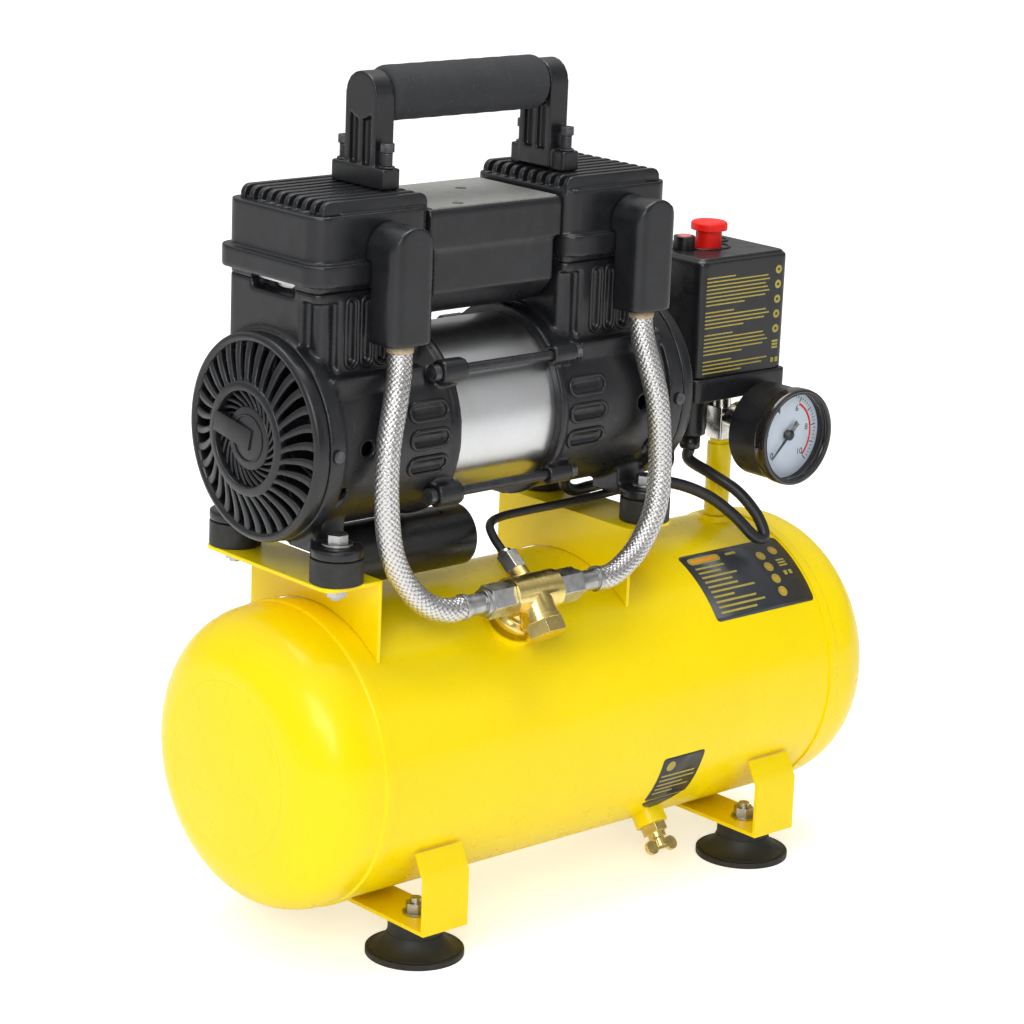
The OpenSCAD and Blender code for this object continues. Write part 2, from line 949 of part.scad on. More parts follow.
module intake_box() {
    color(black)
        difference() {
            union() {
                along_x(pump_x - 44.6, pump_x + 44.6)
                    intersection() {
                        intake_profile(0);
                        translate([-50, lip_z + gap])
                            square([100, 40]);
                    }
                along_x(pump_x - 40.6, pump_x + 40.6)
                    intake_profile(0.9);
            }
            along_x(pump_x - 38, pump_x + 38)
                intake_profile(2.4);
            box(pump_x - 38, pump_x + 38, -28, 28, 376, 390);
            box(pump_x - 42, pump_x + 42, -31, 31, 383, 390);
            // bevelled top edges
            for (t = [0, 1])
                mirror([0, t, 0])
                    along_x(pump_x - 45, pump_x + 45)
                        polygon([[-33.5, 382.8], [-34, 387], [-31.4, 386.6]]);
        }
}

module intake_lid() {
    color([0.22, 0.22, 0.23])
        difference() {
            union() {
                box(pump_x - 41.8, pump_x + 41.8, -30.8, 30.8, 383, 386.8);
                box(pump_x - 37.6, pump_x + 37.6, -27.6, 27.6, 380, 384);
            }
            box(pump_x - 34, pump_x + 34, -24, 24, 378, 383);
            for (p = lid_holes)
                zcyl(3, p[0], p[1], 378, 388);
        }
}

module elbow_profile() {
    translate([-elbow_w / 2, elbow_z])
        square([elbow_w, elbow_arch - elbow_z]);
    translate([0, elbow_arch])
        circle(r = elbow_w / 2);
}

module outlet_elbows() {
    color(black)
        for (x = elbow_xs)
            difference() {
                union() {
                    intersection() {
                        translate([x, -40.4, 0])
                            rotate([90, 0, 0])
                                linear_extrude(height = elbow_y - 40.4)
                                    elbow_profile();
                        post(x, 20 - elbow_y, elbow_w, 40, elbow_z - 1, 400, elbow_edge);
                    }
                    translate([x, -36.5, 0])
                        rotate([90, 0, 0])
                            linear_extrude(height = 8)
                                intersection() {
                                    elbow_profile();
                                    translate([-30, lip_z + gap])
                                        square([60, 40]);
                                }
                }
                zcyl(4.5, x, -hose_y, elbow_z - 1, port_z + 3);
                ycyl(4.5, x, -hose_y, -30, port_z);
            }
}

module capacitor() {
    color(black)
        union() {
            xcyl(16.4, pump_x - 78, pump_x + 4, -6, 205.6);
            xcyl(14.6, pump_x - 79.5, pump_x + 5.5, -6, 205.6);
            xcyl(4, pump_x - deck_in, pump_x - 78, -6, 196);
        }
}

// ---------- handle ----------

module handle_post() {
    x0 = post_out - post_w;
    difference() {
        union() {
            difference() {
                box(x0, post_out, -post_r, post_r, base_z + 1, handle_z);
                // two upright channels in the outer and inner faces
                for (k = [-1, 1])
                    for (x = [x0 - 1, post_out - 3])
                        box(x, x + 4, k * 5 - 3.3, k * 5 + 3.3, base_z + base_t, handle_z + 1);
            }
            xcyl(post_r, x0, post_out, 0, handle_z);
            post(bolt_x, 0, base_w, base_d, base_z, base_z + base_t, 1.5);
        }
        // bar socket
        xcyl(7.3, x0 - 1, post_out - 5, 0, handle_z);
        for (t = [-1, 1])
            zcyl(2.8, bolt_x, t * bolt_y, base_z - 1, base_z + base_t + 1);
    }
}

module handle_posts() {
    color(black)
        for (s = [-1, 1])
            pump_end(s)
                handle_post();
}

module handle_bar() {
    color(steel)
        tube_x_at(7, 5, pump_x - post_out + 5.5, pump_x + post_out - 5.5);
}

module tube_x_at(r_out, r_in, x0, x1) {
    difference() {
        xcyl(r_out, x0, x1, 0, handle_z);
        xcyl(r_in, x0 - 1, x1 + 1, 0, handle_z);
    }
}

module handle_grip() {
    half = post_out - post_w - 0.6;
    edge = 4;
    color([0.14, 0.14, 0.15])
        translate([pump_x, 0, handle_z])
            rotate([0, 90, 0])
                rotate_extrude()
                    difference() {
                        union() {
                            translate([0, -half])
                                square([grip_r - edge, 2 * half]);
                            translate([0, edge - half])
                                square([grip_r, 2 * (half - edge)]);
                            for (s = [-1, 1])
                                translate([grip_r - edge, s * (half - edge)])
                                    circle(r = edge);
                        }
                        translate([-1, -60])
                            square([8.3, 120]);
                    }
}

module handle_bolts() {
    top = base_z + base_t;
    color(steel)
        for (s = [-1, 1])
            pump_end(s)
                for (t = [-1, 1])
                    difference() {
                        union() {
                            zcyl(2.5, bolt_x, t * bolt_y, bolt_low, top + 8.5);
                            zcyl(4, bolt_x, t * bolt_y, top, top + 1);
                            zcyl(3.6, bolt_x, t * bolt_y, top + 8, top + 12.4);
                        }
                        zhex(1.8, bolt_x, t * bolt_y, top + 10, top + 13);
                    }
}

// ---------- check valve, hoses and tubes ----------

module at_valve() {
    translate([valve_x, valve_y, valve_z])
        rotate([valve_tilt, 0, 0])
            children();
}

module at_bonnet() {
    translate([valve_x, valve_y, valve_z])
        rotate([bonnet_tilt, 0, 0])
            children();
}

module check_valve_body() {
    color(brass)
        difference() {
            union() {
                at_valve() {
                    // stem into the tank
                    zcyl(5.7, 0, 0, -34, 0);
                    zcyl(13, 0, 0, tank_r + 3 - valve_h, tank_r + 11 - valve_h);
                    zcyl(9.8, 0, 0, tank_r + 10 - valve_h, 0);
                    // barrel between the hoses
                    xcyl(10.4, -arm, arm, 0, 0);
                    ycyl(6, 0, 8, 14, 0);
                }
                at_bonnet()
                    ycyl(10, 0, -14.5, 0, 0);
            }
            at_valve() {
                xcyl(5, -arm - 1, arm + 1, 0, 0);
                ycyl(1.6, 0, 4, 15, 0);
                zcyl(3.5, 0, 0, -35, 0);
            }
            at_bonnet()
                ycyl(6.8, 0, -16, 0, 0);
        }
}

module check_valve_cap() {
    color(brass)
        at_bonnet() {
            ycyl(10.6, 0, -17, -14.5, 0);
            translate([0, -17, 0])
                rotate([90, 0, 0])
                    cylinder(r = 11.4, h = 7.5, $fn = 6);
            ycyl(6.5, 0, -15, -8, 0);
        }
}

module hose_fittings() {
    color(steel)
        for (s = [-1, 1])
            translate([valve_x, valve_y, valve_z])
                rotate([valve_tilt, 0, 0])
                    rotate([0, s < 0 ? 180 : 0, 0])
                        difference() {
                            union() {
                                xhex(9.2, arm, nut_end, 0, 0);
                                xcyl(7.2, nut_end, nut_end + 2.5, 0, 0);
                                xcyl(5.6, nut_end + 2, ferrule_end, 0, 0);
                                xcyl(6.9, ferrule_end - 3, ferrule_end, 0, 0);
                            }
                            xcyl(4.5, arm - 1, ferrule_end + 1, 0, 0);
                        }
}

module hose_left() {
    color([0.75, 0.75, 0.77])
        cord(route_left, hose_r, 19, 10, [0, 1, 0]);
}

module hose_right() {
    color([0.75, 0.75, 0.77])
        cord(route_right, hose_r, 19, 10, [0, 1, 0]);
}

// Nuts of the unloader tube at both ends and of the motor lead at the switch
module line_fittings() {
    color([0.72, 0.72, 0.70]) {
        at_valve()
            difference() {
                union() {
                    translate([0, 25, 0])
                        rotate([90, 0, 0])
                            cylinder(r = 6.6, h = 11, $fn = 6);
                    ycyl(4.2, 0, 24, 27.4, 0);
                }
                ycyl(1.6, 0, 13, 28, 0);
            }
        difference() {
            union() {
                zhex(5.5, tube_x, tube_y, tube_z + 2, base_bot);
                zcyl(4, tube_x, tube_y, tube_z, tube_z + 3);
            }
            zcyl(1.5, tube_x, tube_y, tube_z - 1, base_bot + 1);
        }
        difference() {
            zcyl(5.4, gland_x, gland_y, nut_z, gland_z);
            zcyl(2.6, gland_x, gland_y, nut_z - 1, gland_z + 1);
        }
    }
}

module unloader_tube() {
    color(black)
        cord(route_tube, tube_r, 21, 8, [0, -0.62, 0.79]);
}

module motor_lead() {
    color(black)
        cord(route_lead, lead_r, 21, 8, [0.66, 0.75, 0]);
}

// ---------- riser, manifold and pressure switch ----------

module riser_pipe() {
    color(yellow)
        difference() {
            union() {
                zcyl(7, riser_x, 0, axis_tank + tank_r + 3, block_bot - 3);
                zcyl(5.6, riser_x, 0, block_bot - 4, block_bot);
            }
            zcyl(4.5, riser_x, 0, axis_tank + tank_r, man_z);
        }
}

module manifold() {
    color([0.78, 0.77, 0.72])
        difference() {
            union() {
                post(riser_x, 0, 2 * block_s, 2 * block_s, block_bot, block_top, 1);
                zcyl(5.2, riser_x, 0, block_top - 1, base_bot);
                ycyl(5.5, riser_x, gauge_back, -block_s + 1, man_z);
            }
            zcyl(4, riser_x, 0, block_bot - 1, base_bot + 1);
            ycyl(3, riser_x, gauge_back - 1, 0, man_z);
            ycyl(5, riser_x, 0, block_s + 1, man_z);
            xcyl(4, riser_x, riser_x + block_s + 1, 0, man_z);
        }
}

module switch_base() {
    color(black)
        difference() {
            union() {
                post(switch_x, switch_y, switch_w + 3, switch_d + 3, base_bot, cover_bot, 4);
                zcyl(8.5, gland_x, gland_y, gland_z, base_bot + 1);
            }
            box(switch_x - 26, switch_x + 26, switch_y - 20, switch_y + 20,
                base_bot + 3, cover_bot + 1);
            zcyl(4, gland_x, gland_y, gland_z - 1, base_bot + 4);
            zcyl(1.5, tube_x, tube_y, base_bot - 1, base_bot + 4);
            zcyl(4, riser_x, 0, base_bot - 1, base_bot + 4);
        }
}

module switch_cover() {
    color(black)
        difference() {
            union() {
                post(switch_x, switch_y, switch_w, switch_d, cover_bot, cover_top - 2, 5);
                post(switch_x, switch_y, switch_w - 4, switch_d - 4, cover_top - 4, cover_top, 3);
            }
            post(switch_x, switch_y, switch_w - 5, switch_d - 5, cover_bot - 1, cover_top - 4, 3);
            // knob and reset holes
            zcyl(7.6, knob_x, knob_y, cover_top - 6, cover_top + 1);
            zcyl(6.3, reset_x, reset_y, cover_top - 6, cover_top + 1);
        }
}

module switch_knob() {
    color(red)
        translate([knob_x, knob_y, 0]) {
            zcyl(7.3, 0, 0, cover_top - 12, cover_top + 10);
            translate([0, 0, cover_top + 10])
                rotate_extrude()
                    union() {
                        square([9, 4.6]);
                        square([10.2, 3]);
                        translate([8.7, 3])
                            circle(r = 1.5);
                    }
        }
}

module reset_button() {
    color([0.15, 0.1, 0.1])
        difference() {
            union() {
                zcyl(6, reset_x, reset_y, cover_top - 10, cover_top + 7.5);
                zcyl(7.5, reset_x, reset_y, cover_top - 10, cover_top - 8);
            }
            zcyl(4, reset_x, reset_y, cover_top + 6.7, cover_top + 8);
        }
}

// ---------- gauge ----------

module gauge_case() {
    color(black)
        difference() {
            union() {
                ycyl(gauge_r - 0.7, riser_x, gauge_front + 6, gauge_back - 2, man_z);
                ycyl(gauge_r - 4, riser_x, gauge_back - 3, gauge_back, man_z);
                ycyl(gauge_r, riser_x, gauge_front, gauge_front + 7, man_z);
            }
            ycyl(gauge_r - 2, riser_x, gauge_front + 2, gauge_back - 3, man_z);
            ycyl(gauge_r - 2.8, riser_x, gauge_front - 1, gauge_front + 3, man_z);
        }
}

module gauge_dial() {
    color([0.95, 0.95, 0.93])
        difference() {
            union() {
                ycyl(gauge_r - 2.3, riser_x, dial_y, dial_y + 1, man_z);
                ycyl(9, riser_x, dial_y + 0.5, gauge_back - 3, man_z);
            }
            ycyl(1.2 + run, riser_x, dial_y - 1, dial_y + 6, man_z);
        }
}

// The needle rests at the lower left of the dial
module gauge_needle() {
    color([0.05, 0.05, 0.05])
        translate([riser_x, 0, man_z])
            rotate([0, -135, 0]) {
                ycyl(1.2, 0, dial_y - 2.8, dial_y + 5, 0);
                ycyl(2.6, 0, dial_y - 3, dial_y - 1.6, 0);
                translate([0, dial_y - 1.8, 0])
                    rotate([90, 0, 0])
                        linear_extrude(height = 0.6)
                            polygon([[-1.6, -9], [1.6, -9], [0.9, 0], [0.3, needle_l],
                                [-0.3, needle_l], [-0.9, 0]]);
            }
}

module gauge_lens() {
    color([0.85, 0.92, 0.95, 0.35])
        ycyl(gauge_r - 2.3, riser_x, gauge_front + 2, gauge_front + 3.6, man_z);
}

// ---------- outlets ----------

module safety_valve() {
    valve_x = riser_x + block_s;
    color(brass)
        difference() {
            union() {
                xcyl(5.2, valve_x, valve_x + 24, 0, man_z);
                xhex(7, valve_x + 6, valve_x + 13, 0, man_z);
                xcyl(1.4, valve_x + 23, valve_x + 29, 0, man_z);
                xcyl(3, valve_x + 27, valve_x + 29, 0, man_z);
            }
            xcyl(3, valve_x - 1, valve_x + 21, 0, man_z);
        }
}

module outlet_coupler() {
    color(steel)
        translate([riser_x, block_s, man_z])
            rotate([-90, 0, 0])
                difference() {
                    union() {
                        zhex(10, 0, 0, 0, 10);
                        zcyl(8.2, 0, 0, 9, 40);
                        zcyl(9.4, 0, 0, 37.5, 40);
                    }
                    zcyl(5.2, 0, 0, 10, 41);
                    zcyl(3, 0, 0, -1, 12);
                }
}

module coupler_collar() {
    color(steel)
        translate([riser_x, block_s, man_z])
            rotate([-90, 0, 0])
                difference() {
                    union() {
                        zcyl(11.5, 0, 0, 17, 37.4);
                        zcyl(12.2, 0, 0, 30, 34);
                    }
                    zcyl(8.2 + run, 0, 0, 16, 38);
                }
}

// ---------- drain ----------

module drain_valve() {
    color(brass)
        drain_axis()
            difference() {
                union() {
                    zcyl(4.7, 0, 0, tank_r - 3, tank_r + 9);
                    zhex(7.4, 0, 0, tank_r + 8, tank_r + 13);
                    zcyl(5, 0, 0, tank_r + 12, tank_r + 16);
                }
                zcyl(1.6 + run, 0, 0, tank_r - 4, tank_r + 17);
            }
}

module drain_wing() {
    color(brass)
        drain_axis() {
            zcyl(1.6, 0, 0, tank_r + 4, tank_r + 20);
            zcyl(3.4, 0, 0, tank_r + 16.4, tank_r + 21);
            translate([0, 1.2, tank_r + 20])
                rotate([90, 0, 0])
                    linear_extrude(height = 2.4) {
                        square([12, 5], center = true);
                        for (s = [-1, 1])
                            translate([s * 7, 0.5])
                                circle(r = 4);
                    }
        }
}

tank_shell();
tank_ends();
foot_brackets();
rubber_feet();
foot_bolts();
pump_bracket_left();
pump_bracket_right();
rubber_mounts();
mount_bolts();
crankcase_left();
crankcase_right();
motor_sleeve();
stator();
tie_rods();
motor_shaft();
rotor_core();
bearings();
eccentrics();
cooling_fans();
fan_cover_left();
fan_cover_right();
cover_screws();
cylinder_sleeves();
piston_left();
piston_right();
valve_plates();
cylinder_head_left();
cylinder_head_right();
head_screws();
intake_box();
intake_lid();
outlet_elbows();
capacitor();
handle_posts();
handle_bar();
handle_grip();
handle_bolts();
check_valve_body();
check_valve_cap();
hose_fittings();
hose_left();
hose_right();
line_fittings();
unloader_tube();
motor_lead();
riser_pipe();
manifold();
switch_base();
switch_cover();
switch_knob();
reset_button();
gauge_case();
gauge_dial();
gauge_needle();
gauge_lens();
safety_valve();
outlet_coupler();
coupler_collar();
drain_valve();
drain_wing();
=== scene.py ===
import math

import bmesh
import bpy
from mathutils import Matrix, Vector


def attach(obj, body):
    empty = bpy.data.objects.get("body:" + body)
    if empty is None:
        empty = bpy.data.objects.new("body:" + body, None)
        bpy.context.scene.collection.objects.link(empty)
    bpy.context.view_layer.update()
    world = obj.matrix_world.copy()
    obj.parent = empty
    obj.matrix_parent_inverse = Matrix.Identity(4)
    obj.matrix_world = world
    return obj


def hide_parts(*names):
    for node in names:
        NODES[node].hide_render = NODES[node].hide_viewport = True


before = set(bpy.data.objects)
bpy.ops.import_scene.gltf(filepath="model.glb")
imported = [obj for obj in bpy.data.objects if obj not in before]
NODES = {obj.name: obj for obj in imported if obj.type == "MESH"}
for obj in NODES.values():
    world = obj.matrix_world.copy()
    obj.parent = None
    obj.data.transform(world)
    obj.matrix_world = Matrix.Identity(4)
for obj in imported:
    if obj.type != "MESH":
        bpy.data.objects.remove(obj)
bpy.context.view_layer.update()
MM = 0.001

# Places on the machine, in millimetres
TANK_R = 80.0
TANK_Z = 102.0
VALVE_X = -58.0
VALVE_Y = -64.0
VALVE_Z = 187.0
PUMP_X = -63.0
AXIS_Z = 274.0
COVER_R = 53.0
BARREL_R = 50.0
CYLINDER_DX = 80.0
RIM_END = 120.0
HANDLE_Z = 441.0
GRIP_R = 14.0
GRIP_HALF = 51.8
RISER_X = 141.0
GAUGE_Z = 242.0
DIAL_Y = -51.0
SWITCH_Y = 3.0
SWITCH_D = 56.0
SWITCH_TOP = 340.0


# ---------- camera ----------

def make_camera():
    azimuth = math.radians(-41.99)
    elevation = math.radians(15.21)
    roll = math.radians(2.3)
    aim = Vector((-0.01538, 0.00003, 0.20915))
    distance = 1.73692
    back = Vector((math.sin(azimuth) * math.cos(elevation),
                   -math.cos(azimuth) * math.cos(elevation),
                   math.sin(elevation)))
    right = Vector((0, 0, 1)).cross(back).normalized()
    up = back.cross(right)
    turned_right = right * math.cos(roll) + up * math.sin(roll)
    turned_up = up * math.cos(roll) - right * math.sin(roll)
    place = Matrix((turned_right, turned_up, back)).transposed().to_4x4()
    place.translation = aim + back * distance
    data = bpy.data.cameras.new("camera")
    data.sensor_width = 36.0
    data.lens = 113.5
    camera = bpy.data.objects.new("camera", data)
    bpy.context.scene.collection.objects.link(camera)
    camera.matrix_world = place
    bpy.context.scene.camera = camera


# ---------- mesh helpers ----------

def new_object(bm, name, material, body="machine", smooth=True):
    """Turns a bmesh into a piece with a finish and the body it rides on."""
    bmesh.ops.recalc_face_normals(bm, faces=bm.faces)
    mesh = bpy.data.meshes.new(name)
    bm.to_mesh(mesh)
    bm.free()
    for polygon in mesh.polygons:
        polygon.use_smooth = smooth
    mesh.materials.append(material)
    obj = bpy.data.objects.new(name, mesh)
    bpy.context.scene.collection.objects.link(obj)
    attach(obj, body)
    return obj


def round_edges(obj, width, segments, angle):
    """Rounds the edges sharper than an angle in degrees; the width is in millimetres."""
    edge = obj.modifiers.new("edge", "BEVEL")
    edge.width = width * MM
    edge.segments = segments
    edge.limit_method = "ANGLE"
    edge.angle_limit = math.radians(angle)


def basis(axis):
    """The axis at length 1, and two directions across it."""
    axis = Vector(axis).normalized()
    side = Vector((0, 0, 1)) if abs(axis.z) < 0.9 else Vector((1, 0, 0))
    u = side.cross(axis).normalized()
    return axis, u, axis.cross(u)


def lathe(bm, profile, centre, axis, steps=64):
    """Turns (radius, height) points in millimetres into a closed solid about an axis."""
    axis, u, v = basis(axis)
    centre = Vector(centre)
    rings = []
    for radius, height in profile:
        middle = (centre + axis * height) * MM
        if radius < 1e-6:
            rings.append([bm.verts.new(middle)])
            continue
        ring = []
        for k in range(steps):
            a = 2 * math.pi * k / steps
            ring.append(bm.verts.new(middle + (u * math.cos(a) + v * math.sin(a)) * radius * MM))
        rings.append(ring)
    closed = len(rings[0]) > 1
    pairs = list(zip(rings, rings[1:]))
    if closed:
        pairs.append((rings[-1], rings[0]))
    for a, b in pairs:
        for k in range(steps):
            m = (k + 1) % steps
            corners = [a[k % len(a)], a[m % len(a)], b[m % len(b)], b[k % len(b)]]
            unique = list(dict.fromkeys(corners))
            if len(unique) > 2:
                bm.faces.new(unique)


def catmull(points, per=12):
    """Smooth path through route points in millimetres, as the CAD cord follows it."""
    p = [Vector(q) for q in points]
    p = [2 * p[0] - p[1]] + p + [2 * p[-1] - p[-2]]
    out = []
    for i in range(1, len(p) - 2):
        a, b, c, d = p[i - 1:i + 3]
        for k in range(per):
            t = k / per
            out.append(0.5 * (2 * b + (c - a) * t + (2 * a - 5 * b + 4 * c - d) * t * t
                              + (3 * b - a - 3 * c + d) * t ** 3))
    out.append(p[-2])
    return out


def path_length(path):
    return sum((b - a).length for a, b in zip(path, path[1:]))


def resample(path, count):
    """Points at even spacing along a path."""
    total = path_length(path)
    out = [path[0].copy()]
    want = total / (count - 1)
    gone = 0.0
    for a, b in zip(path, path[1:]):
        piece = (b - a).length
        while gone + piece >= want * len(out) - 1e-9 and len(out) < count - 1:
            out.append(a.lerp(b, (want * len(out) - gone) / piece))
        gone += piece
    out.append(path[-1].copy())
    return out


def sweep(bm, path, radius, sides, closed=False):
    """Round tube along a path in millimetres; radius is a number or a function of (length, angle)."""
    count = len(path)
    tangents = []
    for i in range(count):
        if closed:
            d = path[(i + 1) % count] - path[i - 1]
        else:
            d = path[min(i + 1, count - 1)] - path[max(i - 1, 0)]
        tangents.append(d.normalized())
    _, u, _ = basis(tangents[0])
    rings = []
    gone = 0.0
    for i, (place, along) in enumerate(zip(path, tangents)):
        u = (u - along * u.dot(along)).normalized()
        v = along.cross(u)
        if i:
            gone += (place - path[i - 1]).length
        ring = []
        for k in range(sides):
            a = 2 * math.pi * k / sides
            r = radius(gone, a) if callable(radius) else radius
            ring.append(bm.verts.new((place + (u * math.cos(a) + v * math.sin(a)) * r) * MM))
        rings.append(ring)
    pairs = list(zip(rings, rings[1:]))
    if closed:
        pairs.append((rings[-1], rings[0]))
    for a, b in pairs:
        for k in range(sides):
            bm.faces.new([a[k], a[(k + 1) % sides], b[(k + 1) % sides], b[k]])
    if not closed:
        bm.faces.new(rings[0])
        bm.faces.new(list(reversed(rings[-1])))
    return rings


# ---------- materials ----------

def link(tree, a, b):
    tree.links.new(a, b)


def add(tree, kind, inputs=None, **settings):
    made = tree.nodes.new(kind)
    for key, value in settings.items():
        setattr(made, key, value)
    for key, value in (inputs or {}).items():
        made.inputs[key].default_value = value
    return made


def noise(tree, coords, size_mm, detail=3.0, roughness=0.55):
    made = add(tree, "ShaderNodeTexNoise",
               {"Scale": 1000.0 / size_mm, "Detail": detail, "Roughness": roughness})
    link(tree, coords, made.inputs["Vector"])
    return made.outputs["Fac"]


def remap(tree, value, low, high, to_low, to_high):
    made = add(tree, "ShaderNodeMapRange",
               {"From Min": low, "From Max": high, "To Min": to_low, "To Max": to_high})
    link(tree, value, made.inputs["Value"])
    return made.outputs["Result"]


def blend_colours(tree, factor, a, b):
    """Mix of two colours; each is a socket or an RGB tuple."""
    made = add(tree, "ShaderNodeMix", data_type="RGBA")
    link(tree, factor, made.inputs[0])
    for index, value in ((6, a), (7, b)):
        if isinstance(value, tuple):
            made.inputs[index].default_value = (*value, 1.0)
        else:
            link(tree, value, made.inputs[index])
    return made.outputs[2]


def times(tree, a, b):
    made = add(tree, "ShaderNodeMath", operation="MULTIPLY")
    link(tree, a, made.inputs[0])
    if isinstance(b, float):
        made.inputs[1].default_value = b
    else:
        link(tree, b, made.inputs[1])
    return made.outputs[0]


def start(name, rough=0.5, metal=0.0, coat=0.0, coat_rough=0.05, specular=0.5):
    """A new material with its coordinates; returns (material, tree, shader, coordinates)."""
    material = bpy.data.materials.new(name)
    material.use_nodes = True
    tree = material.node_tree
    shader = tree.nodes["Principled BSDF"]
    shader.inputs["Roughness"].default_value = rough
    shader.inputs["Metallic"].default_value = metal
    shader.inputs["Coat Weight"].default_value = coat
    shader.inputs["Coat Roughness"].default_value = coat_rough
    shader.inputs["Specular IOR Level"].default_value = specular
    coords = add(tree, "ShaderNodeTexCoord").outputs["Object"]
    return material, tree, shader, coords


def surface(name, colour, rough, metal=0.0, vary=0.12, vary_mm=30.0, bump_mm=0.01, grain_mm=0.5,
            wear_and_highlight=None, wear_and_highlight_from=0.53, wear_and_highlight_to=0.60, rough_vary=0.08, coat=0.0, coat_rough=0.05,
            specular=0.5, detail=4.0):
    """A solid finish with colour mottling, uneven gloss, fine relief, and a lighter colour on sharp
    edges that is partly rubbed wear and partly painted highlight.
    """
    material, tree, shader, coords = start(name, rough, metal, coat, coat_rough, specular)
    big = noise(tree, coords, vary_mm)
    low = tuple(c * (1 - vary) for c in colour)
    high = tuple(min(1.0, c * (1 + vary)) for c in colour)
    tint = blend_colours(tree, remap(tree, big, 0.3, 0.7, 0.0, 1.0), low, high)
    # painted highlight: sharp convex edges (high pointiness) get a lighter colour, partly rubbed wear
    # and partly a painted edge highlight
    if wear_and_highlight:
        geometry = add(tree, "ShaderNodeNewGeometry")
        edge = remap(tree, geometry.outputs["Pointiness"], wear_and_highlight_from, wear_and_highlight_to, 0.0, 1.0)
        patches = remap(tree, noise(tree, coords, 4.0), 0.42, 0.62, 0.15, 1.0)
        tint = blend_colours(tree, times(tree, edge, patches), tint, wear_and_highlight)
    link(tree, tint, shader.inputs["Base Color"])
    gloss = remap(tree, noise(tree, coords, 7.0), 0.3, 0.7, rough - rough_vary, rough + rough_vary)
    link(tree, gloss, shader.inputs["Roughness"])
    bump = add(tree, "ShaderNodeBump", {"Strength": 1.0, "Distance": bump_mm * MM})
    link(tree, noise(tree, coords, grain_mm, detail), bump.inputs["Height"])
    link(tree, bump.outputs["Normal"], shader.inputs["Normal"])
    return material


def yellow_paint():
    """Gloss enamel over pressed steel: faint orange peel under a clear top coat."""
    return surface("yellow_paint", (0.96, 0.73, 0.0), 0.30, vary=0.02, vary_mm=60.0,
                   bump_mm=0.006, grain_mm=3.0, detail=1.0, rough_vary=0.04, specular=0.24,
                   coat=0.10, coat_rough=0.10)


def cast_black():
    # the lighter edge colour here is partly rubbed wear and partly a painted edge highlight
    return surface("cast_black", (0.0095, 0.010, 0.0118), 0.34, bump_mm=0.02, grain_mm=1.1,
                   vary=0.25, vary_mm=18.0, wear_and_highlight=(0.045, 0.046, 0.05), wear_and_highlight_from=0.56,
                   wear_and_highlight_to=0.70)


def black_plastic():
    return surface("black_plastic", (0.010, 0.0105, 0.0122), 0.33, bump_mm=0.010, grain_mm=0.5,
                   vary=0.15, wear_and_highlight=(0.04, 0.04, 0.044), wear_and_highlight_from=0.57, wear_and_highlight_to=0.72)


def lid_plastic():
    return surface("lid_plastic", (0.24, 0.24, 0.225), 0.42, bump_mm=0.012, grain_mm=0.35,
                   vary=0.10, wear_and_highlight=(0.30, 0.30, 0.29))


def rubber():
    return surface("rubber", (0.014, 0.0135, 0.013), 0.58, bump_mm=0.02, grain_mm=0.6, vary=0.2,
                   wear_and_highlight=(0.05, 0.048, 0.045))


def zinc():
    return surface("zinc", (0.42, 0.42, 0.415), 0.32, metal=1.0, bump_mm=0.006, grain_mm=0.7,
                   vary=0.18, vary_mm=5.0, wear_and_highlight=(0.70, 0.70, 0.68))


def black_steel():
    return surface("black_steel", (0.05, 0.05, 0.055), 0.35, metal=0.6, bump_mm=0.006,
                   grain_mm=0.6, vary=0.2, vary_mm=4.0, wear_and_highlight=(0.25, 0.25, 0.26))


def iron():
    return surface("iron", (0.30, 0.26, 0.22), 0.5, metal=0.7, bump_mm=0.02, grain_mm=0.5,
                   vary=0.2, vary_mm=6.0, wear_and_highlight=(0.5, 0.48, 0.45))


def aluminium():
    return surface("aluminium", (0.72, 0.72, 0.73), 0.32, metal=1.0, bump_mm=0.006, grain_mm=0.4,
                   vary=0.08, vary_mm=6.0, wear_and_highlight=(0.85, 0.85, 0.86))


def brass():
    return surface("brass", (0.80, 0.62, 0.22), 0.24, metal=1.0, bump_mm=0.006, grain_mm=0.6,
                   vary=0.10, vary_mm=5.0, wear_and_highlight=(0.90, 0.74, 0.34))


def nickel():
    return surface("nickel", (0.70, 0.68, 0.62), 0.22, metal=1.0, bump_mm=0.005, grain_mm=0.6,
                   vary=0.10, vary_mm=4.0, wear_and_highlight=(0.84, 0.82, 0.78))


def red_plastic():
    return surface("red_plastic", (0.90, 0.012, 0.006), 0.42, bump_mm=0.006, grain_mm=0.6,
                   vary=0.06, specular=0.3, wear_and_highlight=(0.86, 0.04, 0.02))


def dial_white():
    return surface("dial_white", (0.74, 0.82, 0.93), 0.45, bump_mm=0.002, grain_mm=0.4, vary=0.03,
                   rough_vary=0.04)


def cable_sheath():
    return surface("cable_sheath", (0.018, 0.018, 0.020), 0.40, bump_mm=0.008, grain_mm=0.5,
                   vary=0.15, rough_vary=0.06)


def print_ink():
    return surface("print_ink", (0.42, 0.34, 0.05), 0.5, bump_mm=0.002, vary=0.08, vary_mm=6.0)


def amber_ink():
    return surface("amber_ink", (0.85, 0.30, 0.01), 0.5, bump_mm=0.002, vary=0.08, vary_mm=6.0)


def label_film():
    return surface("label_film", (0.030, 0.034, 0.042), 0.34, bump_mm=0.003, grain_mm=2.0,
                   vary=0.10, vary_mm=12.0, rough_vary=0.05)


def bezel_black():
    return surface("bezel_black", (0.014, 0.011, 0.010), 0.12, bump_mm=0.002, grain_mm=2.0,
                   vary=0.15, rough_vary=0.03, coat=0.5)


